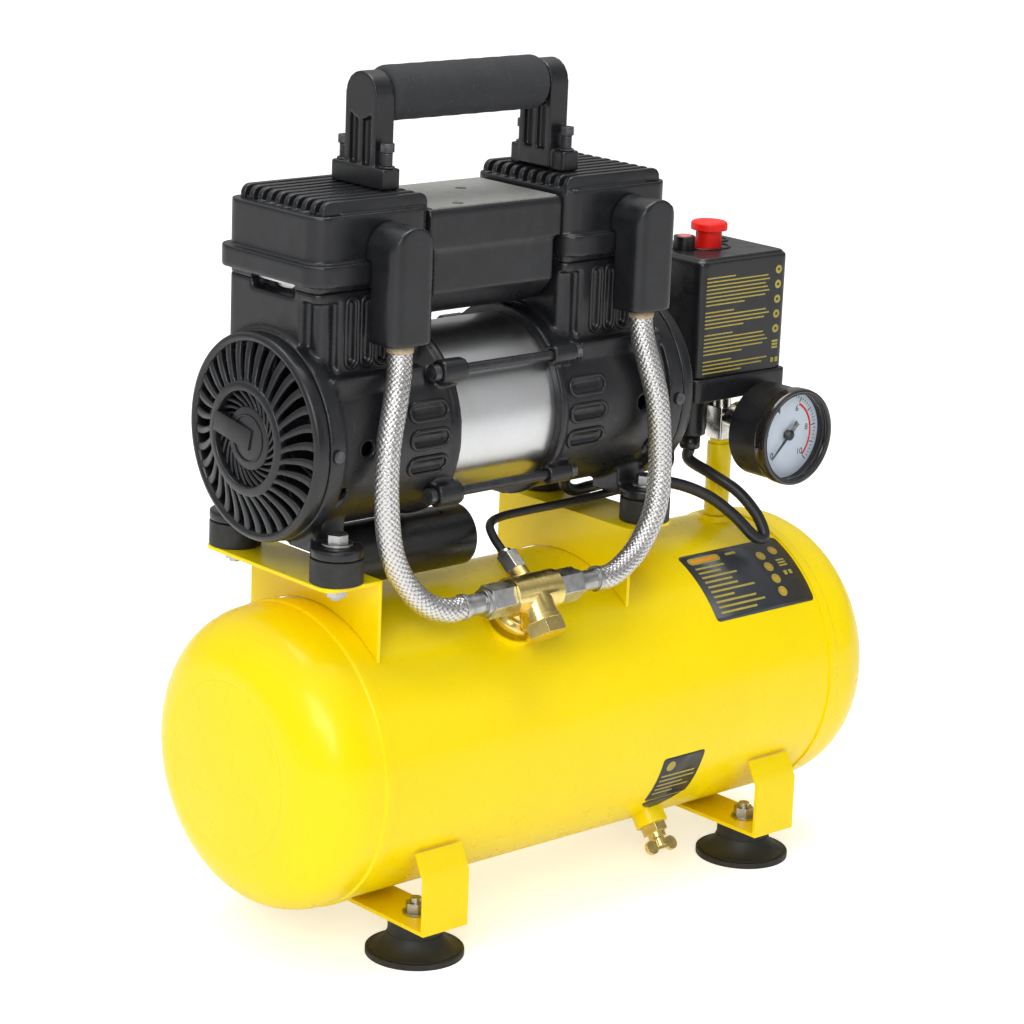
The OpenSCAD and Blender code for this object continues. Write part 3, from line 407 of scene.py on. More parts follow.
def rose_plastic():
    return surface("rose_plastic", (0.62, 0.16, 0.15), 0.4, bump_mm=0.004, vary=0.08)


def tan_band():
    return surface("tan_band", (0.48, 0.38, 0.24), 0.42, metal=0.4, bump_mm=0.01, vary=0.12)


def brushed_sleeve():
    """Rolled steel with fine lines around it and broad worn bands."""
    material, tree, shader, coords = start("brushed_sleeve", 0.30, 1.0)
    mapping = add(tree, "ShaderNodeMapping", {"Scale": (1.0, 0.04, 0.04)})
    link(tree, coords, mapping.inputs["Vector"])
    lines = noise(tree, mapping.outputs["Vector"], 0.35, 5.0, 0.7)
    broad = noise(tree, coords, 26.0)
    tint = blend_colours(tree, lines, (0.56, 0.57, 0.58), (0.74, 0.75, 0.76))
    tint = blend_colours(tree, remap(tree, broad, 0.35, 0.7, 0.0, 0.35), tint, (0.50, 0.48, 0.46))
    link(tree, tint, shader.inputs["Base Color"])
    link(tree, remap(tree, lines, 0.2, 0.8, 0.24, 0.40), shader.inputs["Roughness"])
    bump = add(tree, "ShaderNodeBump", {"Strength": 0.6, "Distance": 0.01 * MM})
    link(tree, lines, bump.inputs["Height"])
    link(tree, bump.outputs["Normal"], shader.inputs["Normal"])
    return material


def braid():
    """Woven wire: the strand height stored on the mesh darkens the gaps."""
    material, tree, shader, coords = start("braid", 0.30, 1.0)
    height = add(tree, "ShaderNodeAttribute", attribute_name="strand").outputs["Fac"]
    mottled = blend_colours(tree, noise(tree, coords, 3.0), (0.58, 0.57, 0.56), (0.76, 0.75, 0.74))
    tint = blend_colours(tree, remap(tree, height, 0.2, 0.75, 0.0, 1.0), (0.14, 0.135, 0.13), mottled)
    link(tree, tint, shader.inputs["Base Color"])
    link(tree, remap(tree, height, 0.0, 1.0, 0.55, 0.34), shader.inputs["Roughness"])
    bump = add(tree, "ShaderNodeBump", {"Strength": 0.7, "Distance": 0.02 * MM})
    link(tree, noise(tree, coords, 0.25), bump.inputs["Height"])
    link(tree, bump.outputs["Normal"], shader.inputs["Normal"])
    return material


def glass():
    material, tree, shader, coords = start("glass", 0.03)
    shader.inputs["Base Color"].default_value = (0.97, 0.98, 0.98, 1.0)
    shader.inputs["Transmission Weight"].default_value = 1.0
    shader.inputs["IOR"].default_value = 1.1
    smears = remap(tree, noise(tree, coords, 9.0), 0.4, 0.7, 0.02, 0.06)
    link(tree, smears, shader.inputs["Roughness"])
    return material


def foam():
    """Closed-cell foam: matte, with tiny open cells and pale dust."""
    material, tree, shader, coords = start("foam", 0.85, specular=0.3)
    cells = add(tree, "ShaderNodeTexVoronoi", {"Scale": 1000.0 / 0.7})
    link(tree, coords, cells.inputs["Vector"])
    pale = remap(tree, noise(tree, coords, 1.6), 0.62, 0.74, 0.0, 0.5)
    base = blend_colours(tree, noise(tree, coords, 14.0), (0.028, 0.029, 0.032), (0.045, 0.046, 0.05))
    link(tree, blend_colours(tree, pale, base, (0.09, 0.09, 0.095)), shader.inputs["Base Color"])
    link(tree, remap(tree, cells.outputs["Distance"], 0.0, 0.6, 0.72, 0.92),
         shader.inputs["Roughness"])
    bump = add(tree, "ShaderNodeBump", {"Strength": 1.0, "Distance": 0.06 * MM})
    link(tree, cells.outputs["Distance"], bump.inputs["Height"])
    link(tree, bump.outputs["Normal"], shader.inputs["Normal"])
    return material


MATERIAL = {
    "yellow": yellow_paint(), "cast": cast_black(), "plastic": black_plastic(),
    "lid": lid_plastic(), "rubber": rubber(), "zinc": zinc(), "black_steel": black_steel(),
    "iron": iron(), "aluminium": aluminium(), "brass": brass(), "nickel": nickel(),
    "red": red_plastic(), "dial": dial_white(), "sheath": cable_sheath(),
    "ink": print_ink(), "amber": amber_ink(), "film": label_film(), "bezel": bezel_black(),
    "rose": rose_plastic(), "tan": tan_band(), "sleeve": brushed_sleeve(), "braid": braid(),
    "glass": glass(), "foam": foam(),
}


# ---------- finish on the CAD nodes ----------

def prepare(node, material):
    """Gives a CAD node its finish, clears its stored normals and welds its corners."""
    obj = NODES[node]
    mesh = obj.data
    mesh.materials.clear()
    mesh.materials.append(material)
    if "custom_normal" in mesh.attributes:
        mesh.attributes.remove(mesh.attributes["custom_normal"])
    for polygon in mesh.polygons:
        polygon.use_smooth = True
    if "sharp_edge" in mesh.attributes:
        mesh.attributes.remove(mesh.attributes["sharp_edge"])
    weld = obj.modifiers.new("weld", "WELD")
    weld.merge_threshold = 0.002 * MM
    return obj


def dress(node, material, bevel):
    """Finish for a made or turned part: flat faces joined, sharp edges rounded."""
    obj = prepare(node, material)
    flat = obj.modifiers.new("flat", "DECIMATE")
    flat.decimate_type = "DISSOLVE"
    flat.angle_limit = math.radians(0.6)
    if bevel:
        round_edges(obj, bevel, 2, 34)
    split = obj.modifiers.new("split", "EDGE_SPLIT")
    split.split_angle = math.radians(46)
    weighted = obj.modifiers.new("weighted", "WEIGHTED_NORMAL")
    weighted.keep_sharp = True


def dress_cast(node, material, voxel, passes):
    """Finish with the soft edges of a casting: fine remesh, then smoothing."""
    obj = prepare(node, material)
    grid = obj.modifiers.new("grid", "REMESH")
    grid.mode = "VOXEL"
    grid.voxel_size = voxel * MM
    grid.use_smooth_shade = True
    soft = obj.modifiers.new("soft", "SMOOTH")
    soft.factor = 0.5
    soft.iterations = passes


# finish, bevel in millimetres, nodes
FINISH = [
    ("yellow", 0.5, ["tank_shell", "tank_ends", "foot_brackets", "pump_bracket_left",
                     "pump_bracket_right", "riser_pipe"]),
    ("plastic", 0.5, ["cooling_fans", "capacitor", "reset_button", "gauge_case"]),
    ("lid", 0.6, ["intake_lid"]),
    ("rubber", 0.6, ["rubber_feet", "rubber_mounts"]),
    ("zinc", 0.3, ["foot_bolts", "mount_bolts", "motor_shaft", "bearings", "handle_bar",
                   "hose_fittings", "outlet_coupler", "coupler_collar"]),
    ("black_steel", 0.3, ["tie_rods", "cover_screws", "head_screws", "handle_bolts"]),
    ("iron", 0.2, ["stator", "rotor_core"]),
    ("aluminium", 0.3, ["eccentrics", "cylinder_sleeves", "piston_left", "piston_right",
                        "valve_plates"]),
    ("brass", 0.4, ["check_valve_body", "check_valve_cap", "safety_valve", "drain_valve",
                    "drain_wing"]),
    ("nickel", 0.4, ["line_fittings", "manifold"]),
    ("sleeve", 0.2, ["motor_sleeve"]),
    ("red", 0.6, ["switch_knob"]),
    ("dial", 0.0, ["gauge_dial"]),
    ("black_steel", 0.0, ["gauge_needle"]),
    ("glass", 0.0, ["gauge_lens"]),
    ("foam", 0.0, ["handle_grip"]),
]
for key, bevel, names in FINISH:
    for name in names:
        dress(name, MATERIAL[key], bevel)

# node, finish, voxel in millimetres, smoothing passes
CAST = [
    ("crankcase_left", "cast", 1.15, 5), ("crankcase_right", "cast", 1.15, 5),
    ("cylinder_head_left", "cast", 0.9, 4), ("cylinder_head_right", "cast", 0.9, 4),
    ("outlet_elbows", "cast", 0.8, 14), ("handle_posts", "plastic", 0.7, 5),
    ("switch_base", "plastic", 0.9, 5), ("switch_cover", "plastic", 1.0, 6),
    ("intake_box", "plastic", 1.0, 6),
]
for name, key, voxel, passes in CAST:
    dress_cast(name, MATERIAL[key], voxel, passes)


# ---------- hoses, tube and lead ----------

# Route points in millimetres, the ones the CAD cords follow
ROUTES = {
    "hose_left": [(-138, -49, 325), (-138, -49, 319), (-140, -51, 309), (-145, -55, 297),
                  (-152, -59, 275), (-153, -60, 250), (-149, -60, 223), (-139, -60, 204),
                  (-127, -62, 192), (-114, -64, 187), (-105.5, -64, 187)],
    "hose_right": [(26, -49, 325), (26, -49, 319), (26.6, -51, 309), (28.5, -55, 295),
                   (32, -59, 275), (35, -60, 243), (31, -62, 218), (21, -62, 200), (9, -63, 191),
                   (-2, -64, 187), (-10.5, -64, 187)],
    "unloader_tube": [(-58, -42, 203.5), (-58, -34, 209.5), (-54, -26, 214), (-42, -20, 215),
                      (-20, -18, 215), (5, -18, 215), (30, -16, 215), (55, -13, 215),
                      (78, -10, 216), (98, -3, 220), (110, 8, 224), (119, 16, 231),
                      (124, 18, 240), (124, 18, 249)],
    "motor_lead": [(30, 8, 221), (30, 8, 216), (37, 8, 212), (50, 9, 212), (66, 10, 212),
                   (84, 4, 212), (100, -8, 210), (113, -20, 204), (123, -31, 194),
                   (132, -40, 182), (138, -42, 182), (137, -36, 193), (131, -26, 205),
                   (124, -12, 213), (120, 3, 219), (120, 3, 226)],
}
HOSE_R = 6.2
TUBE_R = 2.3
LEAD_R = 3.3
STRANDS = 12
BRAID_PITCH = 39.0
BRAID_SIDES = 96
BRAID_SINK = 0.42
BRAID_RELIEF = 0.6


def strand_height(length, angle):
    """Height of the weave from 0 in the gaps to 1 on the strands."""
    turn = angle / (2 * math.pi) * STRANDS
    slide = length / BRAID_PITCH * STRANDS
    one = (turn + slide) % 1.0
    two = (turn - slide) % 1.0
    over = (math.floor(turn + slide) + math.floor(turn - slide)) % 2 == 0
    first = 1 - abs(2 * one - 1) ** 2.5
    second = 1 - abs(2 * two - 1) ** 2.5
    return max(first, second * 0.55) if over else max(first * 0.55, second)


def woven_radius(length, angle):
    return HOSE_R - BRAID_SINK + BRAID_RELIEF * strand_height(length, angle)


def make_cord(node, radius, material, woven):
    """A hose, tube or lead along its route, standing for the CAD node of the same name."""
    path = catmull(ROUTES[node])
    fine = resample(path, 400 if woven else 150)
    bm = bmesh.new()
    if woven:
        layer = bm.verts.layers.float.new("strand")
        rings = sweep(bm, fine, woven_radius, BRAID_SIDES)
        gone = 0.0
        for i, ring in enumerate(rings):
            gone += (fine[i] - fine[i - 1]).length if i else 0.0
            for k, vert in enumerate(ring):
                vert[layer] = strand_height(gone, 2 * math.pi * k / BRAID_SIDES)
    else:
        sweep(bm, fine, radius, 24)
    piece = new_object(bm, node + "_made", material)
    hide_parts(node)


make_camera()
make_cord("hose_left", HOSE_R, MATERIAL["braid"], True)
make_cord("hose_right", HOSE_R, MATERIAL["braid"], True)
make_cord("unloader_tube", TUBE_R, MATERIAL["sheath"], False)
make_cord("motor_lead", LEAD_R, MATERIAL["sheath"], False)


# ---------- fan covers ----------

COVER_SLOTS = 32
SWIRL_BLADES = 26
BLADE_RINGS = 10


def fan_cover(node, side):
    """Domed guard: rim, curved blades, inner ring, swirl blades, hub and one web."""
    def at(r, angle, h):
        """Point at a radius and angle about the shaft, h beyond the rim's end."""
        return Vector((PUMP_X + side * (RIM_END + h), side * r * math.cos(angle),
                       AXIS_Z + r * math.sin(angle))) * MM

    bm = bmesh.new()
    centre = (PUMP_X + side * RIM_END, 0, AXIS_Z)
    axis = (side, 0, 0)
    lathe(bm, [(COVER_R - 5.2, 0.3), (COVER_R - 0.6, 0.3), (COVER_R, 1), (COVER_R, 6.4),
               (COVER_R - 0.7, 7.6), (COVER_R - 2.2, 8.3), (COVER_R - 3.8, 8),
               (COVER_R - 4.8, 7), (COVER_R - 5.2, 5.6)], centre, axis, 128)
    lathe(bm, [(24.4, 8.4), (24.2, 13), (24.8, 13.8), (28.2, 13.6), (29.2, 12.8), (29.4, 9)],
          centre, axis, 96)
    lathe(bm, [(0, 6), (16.2, 6), (16.4, 10.2), (15.7, 11), (0, 11.4)], centre, axis, 72)
    lathe(bm, [(11.2, 11), (11.2, 11.7), (11.8, 11.9), (12.4, 11.7), (12.4, 11)],
          centre, axis, 72)

    def blade(angle, r0, r1, turn, bulge, share, front, back, count):
        """One bar from r0 to r1: turned, bulged sideways, its front face following front(t)."""
        rings = []
        for k in range(BLADE_RINGS):
            t = k / (BLADE_RINGS - 1)
            r = r0 + (r1 - r0) * t
            half = math.pi / count * share
            a = angle + turn * (1 - t) + bulge * 4 * t * (1 - t)
            f = front(t)
            rings.append([bm.verts.new(at(r, a - half, f - 0.5)),
                          bm.verts.new(at(r, a - half * 0.6, f)),
                          bm.verts.new(at(r, a + half * 0.6, f)),
                          bm.verts.new(at(r, a + half, f - 0.5)),
                          bm.verts.new(at(r, a + half, f - back)),
                          bm.verts.new(at(r, a - half, f - back))])
        for a, b in zip(rings, rings[1:]):
            for k in range(6):
                bm.faces.new([a[k], a[(k + 1) % 6], b[(k + 1) % 6], b[k]])
        bm.faces.new(rings[0])
        bm.faces.new(list(reversed(rings[-1])))

    for k in range(COVER_SLOTS):
        blade(2 * math.pi * (k + 0.5) / COVER_SLOTS, 28.6, 48.8, -0.10, 0.05, 0.50,
              lambda t: 7.4 + 5.6 * (1 - t) ** 1.2, 2.6, COVER_SLOTS)
    for k in range(SWIRL_BLADES):
        blade(2 * math.pi * k / SWIRL_BLADES, 15.6, 25.0, -0.50, 0.04, 0.56,
              lambda t: 10.4, 2.2, SWIRL_BLADES)
    for k in range(COVER_SLOTS):
        blade(2 * math.pi * k / COVER_SLOTS, 25.2, 31.0, -0.12, 0.0, 0.24,
              lambda t: 13.9 - 1.8 * t, 3.0, COVER_SLOTS)
    web = math.radians(168)
    corners = []
    for r, half, h in ((-3, 5.4, 12.4), (24.8, 5.4, 13.9)):
        along = Vector((0, side * math.cos(web), math.sin(web)))
        across = Vector((0, -side * math.sin(web), math.cos(web)))
        for sign, drop in ((-1, 5.0), (-1, 0.0), (1, 0.0), (1, 5.0)):
            base = Vector((PUMP_X + side * (RIM_END + h - drop), 0, AXIS_Z))
            corners.append(bm.verts.new((base + along * r + across * half * sign) * MM))
    bm.faces.new(corners[0:4])
    bm.faces.new(corners[4:8])
    for k in range(4):
        bm.faces.new([corners[k], corners[(k + 1) % 4], corners[4 + (k + 1) % 4], corners[4 + k]])
    piece = new_object(bm, node + "_made", MATERIAL["plastic"])
    round_edges(piece, 0.35, 2, 40)
    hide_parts(node)


fan_cover("fan_cover_left", -1)
fan_cover("fan_cover_right", 1)


# ---------- raised rims on the castings ----------

def stadium(w, h, steps=10):
    """Outline of a slot with round ends, long side along the first axis."""
    r = h / 2
    out = []
    for s in (1, -1):
        for k in range(steps + 1):
            a = math.pi * (k / steps - 0.5)
            out.append((s * ((w - h) / 2 + r * math.cos(a)), s * r * math.sin(a)))
    return out


def rims():
    """Beads round the barrel's slots and round the upright slots of the two blocks."""
    bm = bmesh.new()
    for side, slot_x in ((-1, 84.8), (1, 79.2)):
        for k in (-1, 0, 1):
            for front in (-1, 1):
                path = []
                for a, b in stadium(24.6, 8.8):
                    z = k * 14 + b
                    y = math.sqrt((BARREL_R + 0.2) ** 2 - z * z)
                    path.append(Vector((PUMP_X + side * 54 + a, front * y, AXIS_Z + z)))
                sweep(bm, path, 1.15, 8, closed=True)
        for k in (-1, 0, 1):
            x = PUMP_X + side * (slot_x + k * 9.6)
            for face in (-35.0, 38.0):
                path = [Vector((x + b, face, 330 + a)) for a, b in stadium(35.4, 7.6)]
                sweep(bm, path, 1.0, 8, closed=True)
    new_object(bm, "casting_rims", MATERIAL["cast"])


rims()


# ---------- thin labels ----------

def rows_rect(u0, u1, v0, v1, r=0.0, steps=5):
    """Rows (v, left, right) of a rectangle with round corners."""
    rows = []
    for k in range(steps + 1):
        a = math.pi / 2 * k / steps
        inset = r * (1 - math.sin(a))
        rows.append((v0 + r * (1 - math.cos(a)), u0 + inset, u1 - inset))
    middle = max(2, int((v1 - v0) / 3))
    inner = [(v0 + r + (v1 - v0 - 2 * r) * k / middle, u0, u1) for k in range(1, middle)]
    mirrored = [(v0 + v1 - v, a, b) for v, a, b in reversed(rows)]
    if r == 0.0:
        return [(v0, u0, u1)] + inner + [(v1, u0, u1)]
    return rows + inner + mirrored


def rows_disc(u, v, r, steps=14):
    rows = []
    for k in range(1, steps):
        a = math.pi * k / steps
        half = r * math.sin(a)
        rows.append((v - r * math.cos(a), u - half, u + half))
    return rows


def patch(bm, rows, place, low, high):
    """Closed thin slab over rows, set on a surface by place(u, v, height)."""
    grid = []
    for v, left, right in rows:
        grid.append([bm.verts.new(place(left, v, high) * MM),
                     bm.verts.new(place(right, v, high) * MM),
                     bm.verts.new(place(right, v, low) * MM),
                     bm.verts.new(place(left, v, low) * MM)])
    for a, b in zip(grid, grid[1:]):
        for k in range(4):
            bm.faces.new([a[k], a[(k + 1) % 4], b[(k + 1) % 4], b[k]])
    bm.faces.new(grid[0])
    bm.faces.new(list(reversed(grid[-1])))


def on_tank(u, v, h):
    """Point on the tank: u along X, v along the arc from the top towards the front."""
    a = v / TANK_R
    return Vector((u, -(TANK_R + h) * math.sin(a), TANK_Z + (TANK_R + h) * math.cos(a)))


def on_switch(u, v, h):
    return Vector((u, SWITCH_Y - SWITCH_D / 2 - h, v))


def icon_rings(ink, cut, place, spots, r, low):
    """Round marks: a filled disc with a small plain bar in it."""
    for u, v in spots:
        patch(ink, rows_disc(u, v, r), place, low, low + 0.06)
        patch(cut, rows_rect(u - r * 0.35, u + r * 0.35, v - r * 0.3, v + r * 0.3), place,
              low, low + 0.1)


def text_lines(ink, place, u, v, pitch, lengths, thick, low):
    """Plain bars in place of lines of text."""
    for k, length in enumerate(lengths):
        patch(ink, rows_rect(u, u + length, v + k * pitch, v + k * pitch + thick), place,
              low, low + 0.06)


def switch_label():
    """Print on the front of the switch: four blocks of lines and a column of marks."""
    ink = bmesh.new()
    cut = bmesh.new()
    v = 329.0
    for count in (8, 5, 6, 4):
        lengths = [22.0] + [51.0 - 5.0 * abs(math.sin(k * 2.1 + count)) for k in range(1, count)]
        lengths[-1] = 30.0
        text_lines(ink, on_switch, 98.5, v, -2.15, lengths, 0.75, 0.02)
        v -= 2.15 * (count - 1) + 4.1
    spots = [(154.5, 329.5 - 8.4 * k) for k in range(5)]
    icon_rings(ink, cut, on_switch, spots, 2.4, 0.02)
    for k in range(3):
        patch(ink, rows_rect(152.2, 156.8, 284.6 + 1.8 * k, 285.8 + 1.8 * k), on_switch, 0.02, 0.08)
    for u in (152.0, 155.4):
        patch(ink, rows_rect(u, u + 2.2, 276.8, 279.4), on_switch, 0.02, 0.08)
    new_object(ink, "switch_print", MATERIAL["ink"], smooth=False)
    new_object(cut, "switch_print_marks", MATERIAL["plastic"], smooth=False)


def tank_plate():
    """Dark plate on the tank's upper right, with lines and marks."""
    plate = bmesh.new()
    ink = bmesh.new()
    cut = bmesh.new()
    patch(plate, rows_rect(80, 156.5, 32.4, 77.6, 2.5), on_tank, -0.2, 0.2)
    patch(ink, rows_rect(84, 108, 35.5, 40.5, 2.2), on_tank, 0.1, 0.26)
    patch(cut, rows_rect(86, 106, 37, 39, 0.9), on_tank, 0.1, 0.30)
    patch(ink, rows_rect(113, 121, 36.6, 38.4, 0.6), on_tank, 0.1, 0.26)
    lengths = [22.0, 17.0, 27.0, 21.0, 23.0, 34.0, 16.0, 31.0, 36.0, 28.0]
    text_lines(ink, on_tank, 85, 43.2, 3.25, lengths, 1.2, 0.20)
    icon_rings(ink, cut, on_tank, [(136, 44 + 8.2 * k) for k in range(4)], 3.1, 0.20)
    icon_rings(ink, cut, on_tank, [(147, 42)], 3.1, 0.20)
    for k in range(3):
        patch(ink, rows_rect(144, 150, 48.6 + 1.9 * k, 49.8 + 1.9 * k), on_tank, 0.2, 0.26)
    for u in (144.0, 147.8):
        patch(ink, rows_rect(u, u + 2.4, 56.6, 59.4), on_tank, 0.2, 0.26)
    new_object(plate, "tank_plate", MATERIAL["film"])
    new_object(ink, "tank_plate_print", MATERIAL["ink"], smooth=False)
    new_object(cut, "tank_plate_marks", MATERIAL["amber"], smooth=False)


def tank_tag():
    """Small dark sticker above the drain, with a pointed tab under it."""
    plate = bmesh.new()
    ink = bmesh.new()
    patch(plate, rows_rect(33.5, 64.5, 147.4, 179.5, 2.0), on_tank, -0.2, 0.2)
    patch(plate, [(180.4, 38, 62), (182.2, 34.5, 60), (184.6, 36, 58), (188, 40, 54),
                  (191, 46, 49)], on_tank, -0.2, 0.2)
    patch(ink, rows_disc(40.5, 153.4, 3.2), on_tank, 0.1, 0.26)
    for k, length in enumerate((25.0, 26.0, 19.0, 25.0, 15.0)):
        v = 159.5 + 3.4 * k
        patch(ink, rows_rect(36.0, 36.0 + length, v, v + 1.1), on_tank, 0.1, 0.26)
    new_object(plate, "tank_tag", MATERIAL["film"])
    new_object(ink, "tank_tag_print", MATERIAL["ink"], smooth=False)


switch_label()
tank_plate()
tank_tag()


# ---------- gauge ----------

DIAL_START = 225
DIAL_SWEEP = 270
DIAL_MARKS = 50
DIAL_NUMBERS = 5


def on_dial(u, v, h):
    return Vector((RISER_X + u, DIAL_Y - h, GAUGE_Z + v))


def dial_marks():
    """Fine marks round the scale, every fifth one longer and thicker."""
    ink = bmesh.new()
    for k in range(DIAL_MARKS + 1):
        a = math.radians(DIAL_START - DIAL_SWEEP * k / DIAL_MARKS)
        out = 22.6
        inn = 19.6 if k % 5 == 0 else 21.1
        half = 0.30 if k % 5 == 0 else 0.17
        direction = Vector((math.cos(a), math.sin(a)))
        across = Vector((-direction.y, direction.x))
        verts = []
        for h in (0.02, 0.12):
            for r, s in ((inn, -half), (inn, half), (out, half), (out, -half)):
                spot = direction * r + across * s
                verts.append(ink.verts.new(on_dial(spot.x, spot.y, h) * MM))
        ink.faces.new(verts[0:4])
        ink.faces.new(verts[4:8])
        for j in range(4):
            ink.faces.new([verts[j], verts[(j + 1) % 4], verts[4 + (j + 1) % 4], verts[4 + j]])
    new_object(ink, "dial_marks", MATERIAL["sheath"], smooth=False)


def arc(bm, r0, r1, a0, a1, low, high, steps=40):
    """Closed band on the dial between two radii and two angles in degrees."""
    rings = []
    for k in range(steps + 1):
        a = math.radians(a0 + (a1 - a0) * k / steps)
        rings.append([bm.verts.new(on_dial(r * math.cos(a), r * math.sin(a), h) * MM)
                      for r, h in ((r0, low), (r1, low), (r1, high), (r0, high))])
    for a, b in zip(rings, rings[1:]):
        for k in range(4):
            bm.faces.new([a[k], a[(k + 1) % 4], b[(k + 1) % 4], b[k]])
    bm.faces.new(rings[0])
    bm.faces.new(list(reversed(rings[-1])))


def dial_numbers():
    """Plain numbers round the scale."""
    joined = bmesh.new()
    for k in range(DIAL_NUMBERS + 1):
        curve = bpy.data.curves.new("number", "FONT")
        curve.body = str(2 * k)
        curve.size = 5.0 * MM
        curve.align_x = "CENTER"
        curve.align_y = "CENTER"
        curve.extrude = 0.04 * MM
        temp = bpy.data.objects.new("number", curve)
        mesh = bpy.data.meshes.new_from_object(temp)
        a = math.radians(DIAL_START - DIAL_SWEEP * k / DIAL_NUMBERS)
        spot = on_dial(15.6 * math.cos(a), 15.6 * math.sin(a), 0.08) * MM
        mesh.transform(Matrix.Translation(spot) @ Matrix.Rotation(math.radians(90), 4, "X"))
        joined.from_mesh(mesh)
        bpy.data.objects.remove(temp)
        bpy.data.meshes.remove(mesh)
        bpy.data.curves.remove(curve)
    bmesh.ops.remove_doubles(joined, verts=joined.verts, dist=0.000001)
    new_object(joined, "dial_numbers", MATERIAL["sheath"], smooth=False)


def gauge():
    dial_marks()
    dial_numbers()
    bm = bmesh.new()
    arc(bm, 18.0, 19.2, 62, -45, 0.02, 0.12)
    new_object(bm, "dial_red", MATERIAL["red"], smooth=False)
    bm = bmesh.new()
    centre = (RISER_X, 0, GAUGE_Z)
    lathe(bm, [(26.2, 52.4), (27.1, 52.8), (27.35, 53.6), (27.35, 57.6), (27.0, 59.2),
               (26.3, 60.15), (25.6, 60.2), (24.9, 59.6), (24.5, 58.4), (24.1, 58.3), (24.1, 55.6)],
          centre, (0, -1, 0), 96)
    new_object(bm, "gauge_bezel", MATERIAL["bezel"])
    bm = bmesh.new()
    lathe(bm, [(0, 51.4), (2.9, 51.4), (2.9, 54.2), (2.3, 54.8), (1.2, 55.1), (0, 55.1)],
          centre, (0, -1, 0), 32)
    new_object(bm, "gauge_hub", MATERIAL["black_steel"], "needle")


gauge()


# ---------- small parts of the controls ----------

def control_details():
    """Coloured centre of the reset button, and raised lines on the switch's top."""
    bm = bmesh.new()
    lathe(bm, [(0, 346.4), (4.0, 346.4), (4.0, 347.5), (3.5, 348.0), (0, 348.1)],
          (110, 6, 0), (0, 0, 1), 40)
    new_object(bm, "reset_centre", MATERIAL["rose"], "reset")
    bm = bmesh.new()
    path = [Vector((136 + a, 18 + b, SWITCH_TOP + 0.1)) for a, b in stadium(34, 15, 12)]
    sweep(bm, path, 0.8, 10, closed=True)
    for k in range(4):
        path = [Vector((126 + 6 * k + a, 18 + b, SWITCH_TOP)) for a, b in stadium(3.0, 6.0, 6)]
        sweep(bm, path, 0.5, 8, closed=True)
    path = [Vector((127 + a, 4 + b, SWITCH_TOP + 0.1)) for a, b in stadium(26, 19, 14)]
    sweep(bm, path, 0.7, 10, closed=True)
    new_object(bm, "switch_relief", MATERIAL["plastic"])


control_details()


# ---------- foam grip, hose collars, bolts, fins ----------

FIN_COUNT = 10
FIN_PITCH = 7.0
FIN_HALF_LENGTH = 33.2
FIN_HALF_WIDTH = 1.85


def grip():
    """Foam sleeve on the handle, round at both ends and slightly uneven along it."""
    bm = bmesh.new()
    straight = GRIP_HALF - 4
    profile = [(7.15, -GRIP_HALF + 0.4)]
    for k in range(7):
        a = math.pi / 2 * k / 6
        profile.append((10 + 4 * math.sin(a), -straight - 4 * math.cos(a)))
    for k in range(1, 24):
        x = straight * (k / 12 - 1)
        profile.append((GRIP_R + 0.10 * math.sin(k * 1.9), x))
    for k in range(7):
        a = math.pi / 2 * (1 - k / 6)
        profile.append((10 + 4 * math.sin(a), straight + 4 * math.cos(a)))
    profile.append((7.15, GRIP_HALF - 0.4))
    lathe(bm, profile, (PUMP_X, 0, HANDLE_Z), (1, 0, 0), 96)
    piece = new_object(bm, "handle_grip_made", MATERIAL["foam"])
    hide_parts("handle_grip")


def hose_collars():
    """Tan bands where the hoses leave the elbows."""
    bm = bmesh.new()
    for x in (-138, 26):
        lathe(bm, [(6.0, 320.6), (6.75, 320.8), (6.9, 321.4), (6.9, 324.4), (6.0, 324.9)],
              (x, -49, 0), (0, 0, 1), 48)
    new_object(bm, "hose_collars", MATERIAL["tan"])


def bolt_threads():
    """Threads on the ends of the handle's bolts."""
    bm = bmesh.new()
    profile = [(2.0, 407.4)]
    for k in range(7):
        base = 407.5 + 0.95 * k
        profile += [(2.55, base), (2.85, base + 0.45)]
    profile += [(2.55, 414.2), (2.0, 414.3)]
    for side in (-1, 1):
        for front in (-1, 1):
            lathe(bm, profile, (PUMP_X + side * 60.3, front * 16.8, 0), (0, 0, 1), 32)
    new_object(bm, "bolt_threads", MATERIAL["black_steel"])


def valve_flange():
    """Tapered foot of the check valve, square to the tank's surface."""
    lean = math.atan2(-VALVE_Y, VALVE_Z - TANK_Z)
    bm = bmesh.new()
    lathe(bm, [(9.2, 7.0), (10.1, 8.2), (10.4, 12.4), (11.4, 14.4), (13.3, 15.6), (13.5, 16.6),
               (13.5, 23.6)],
          (VALVE_X, VALVE_Y, VALVE_Z), (0, math.sin(lean), -math.cos(lean)), 64)
    new_object(bm, "valve_flange", MATERIAL["brass"])


def gland_nut():
    """Nut round the lead, under the switch."""
    bm = bmesh.new()
    lathe(bm, [(3.6, 225.7), (5.2, 225.8), (5.8, 226.6), (5.8, 233.7), (3.6, 233.8)],
          (120, 3, 0), (0, 0, 1), 48)
    new_object(bm, "gland_nut", MATERIAL["plastic"])


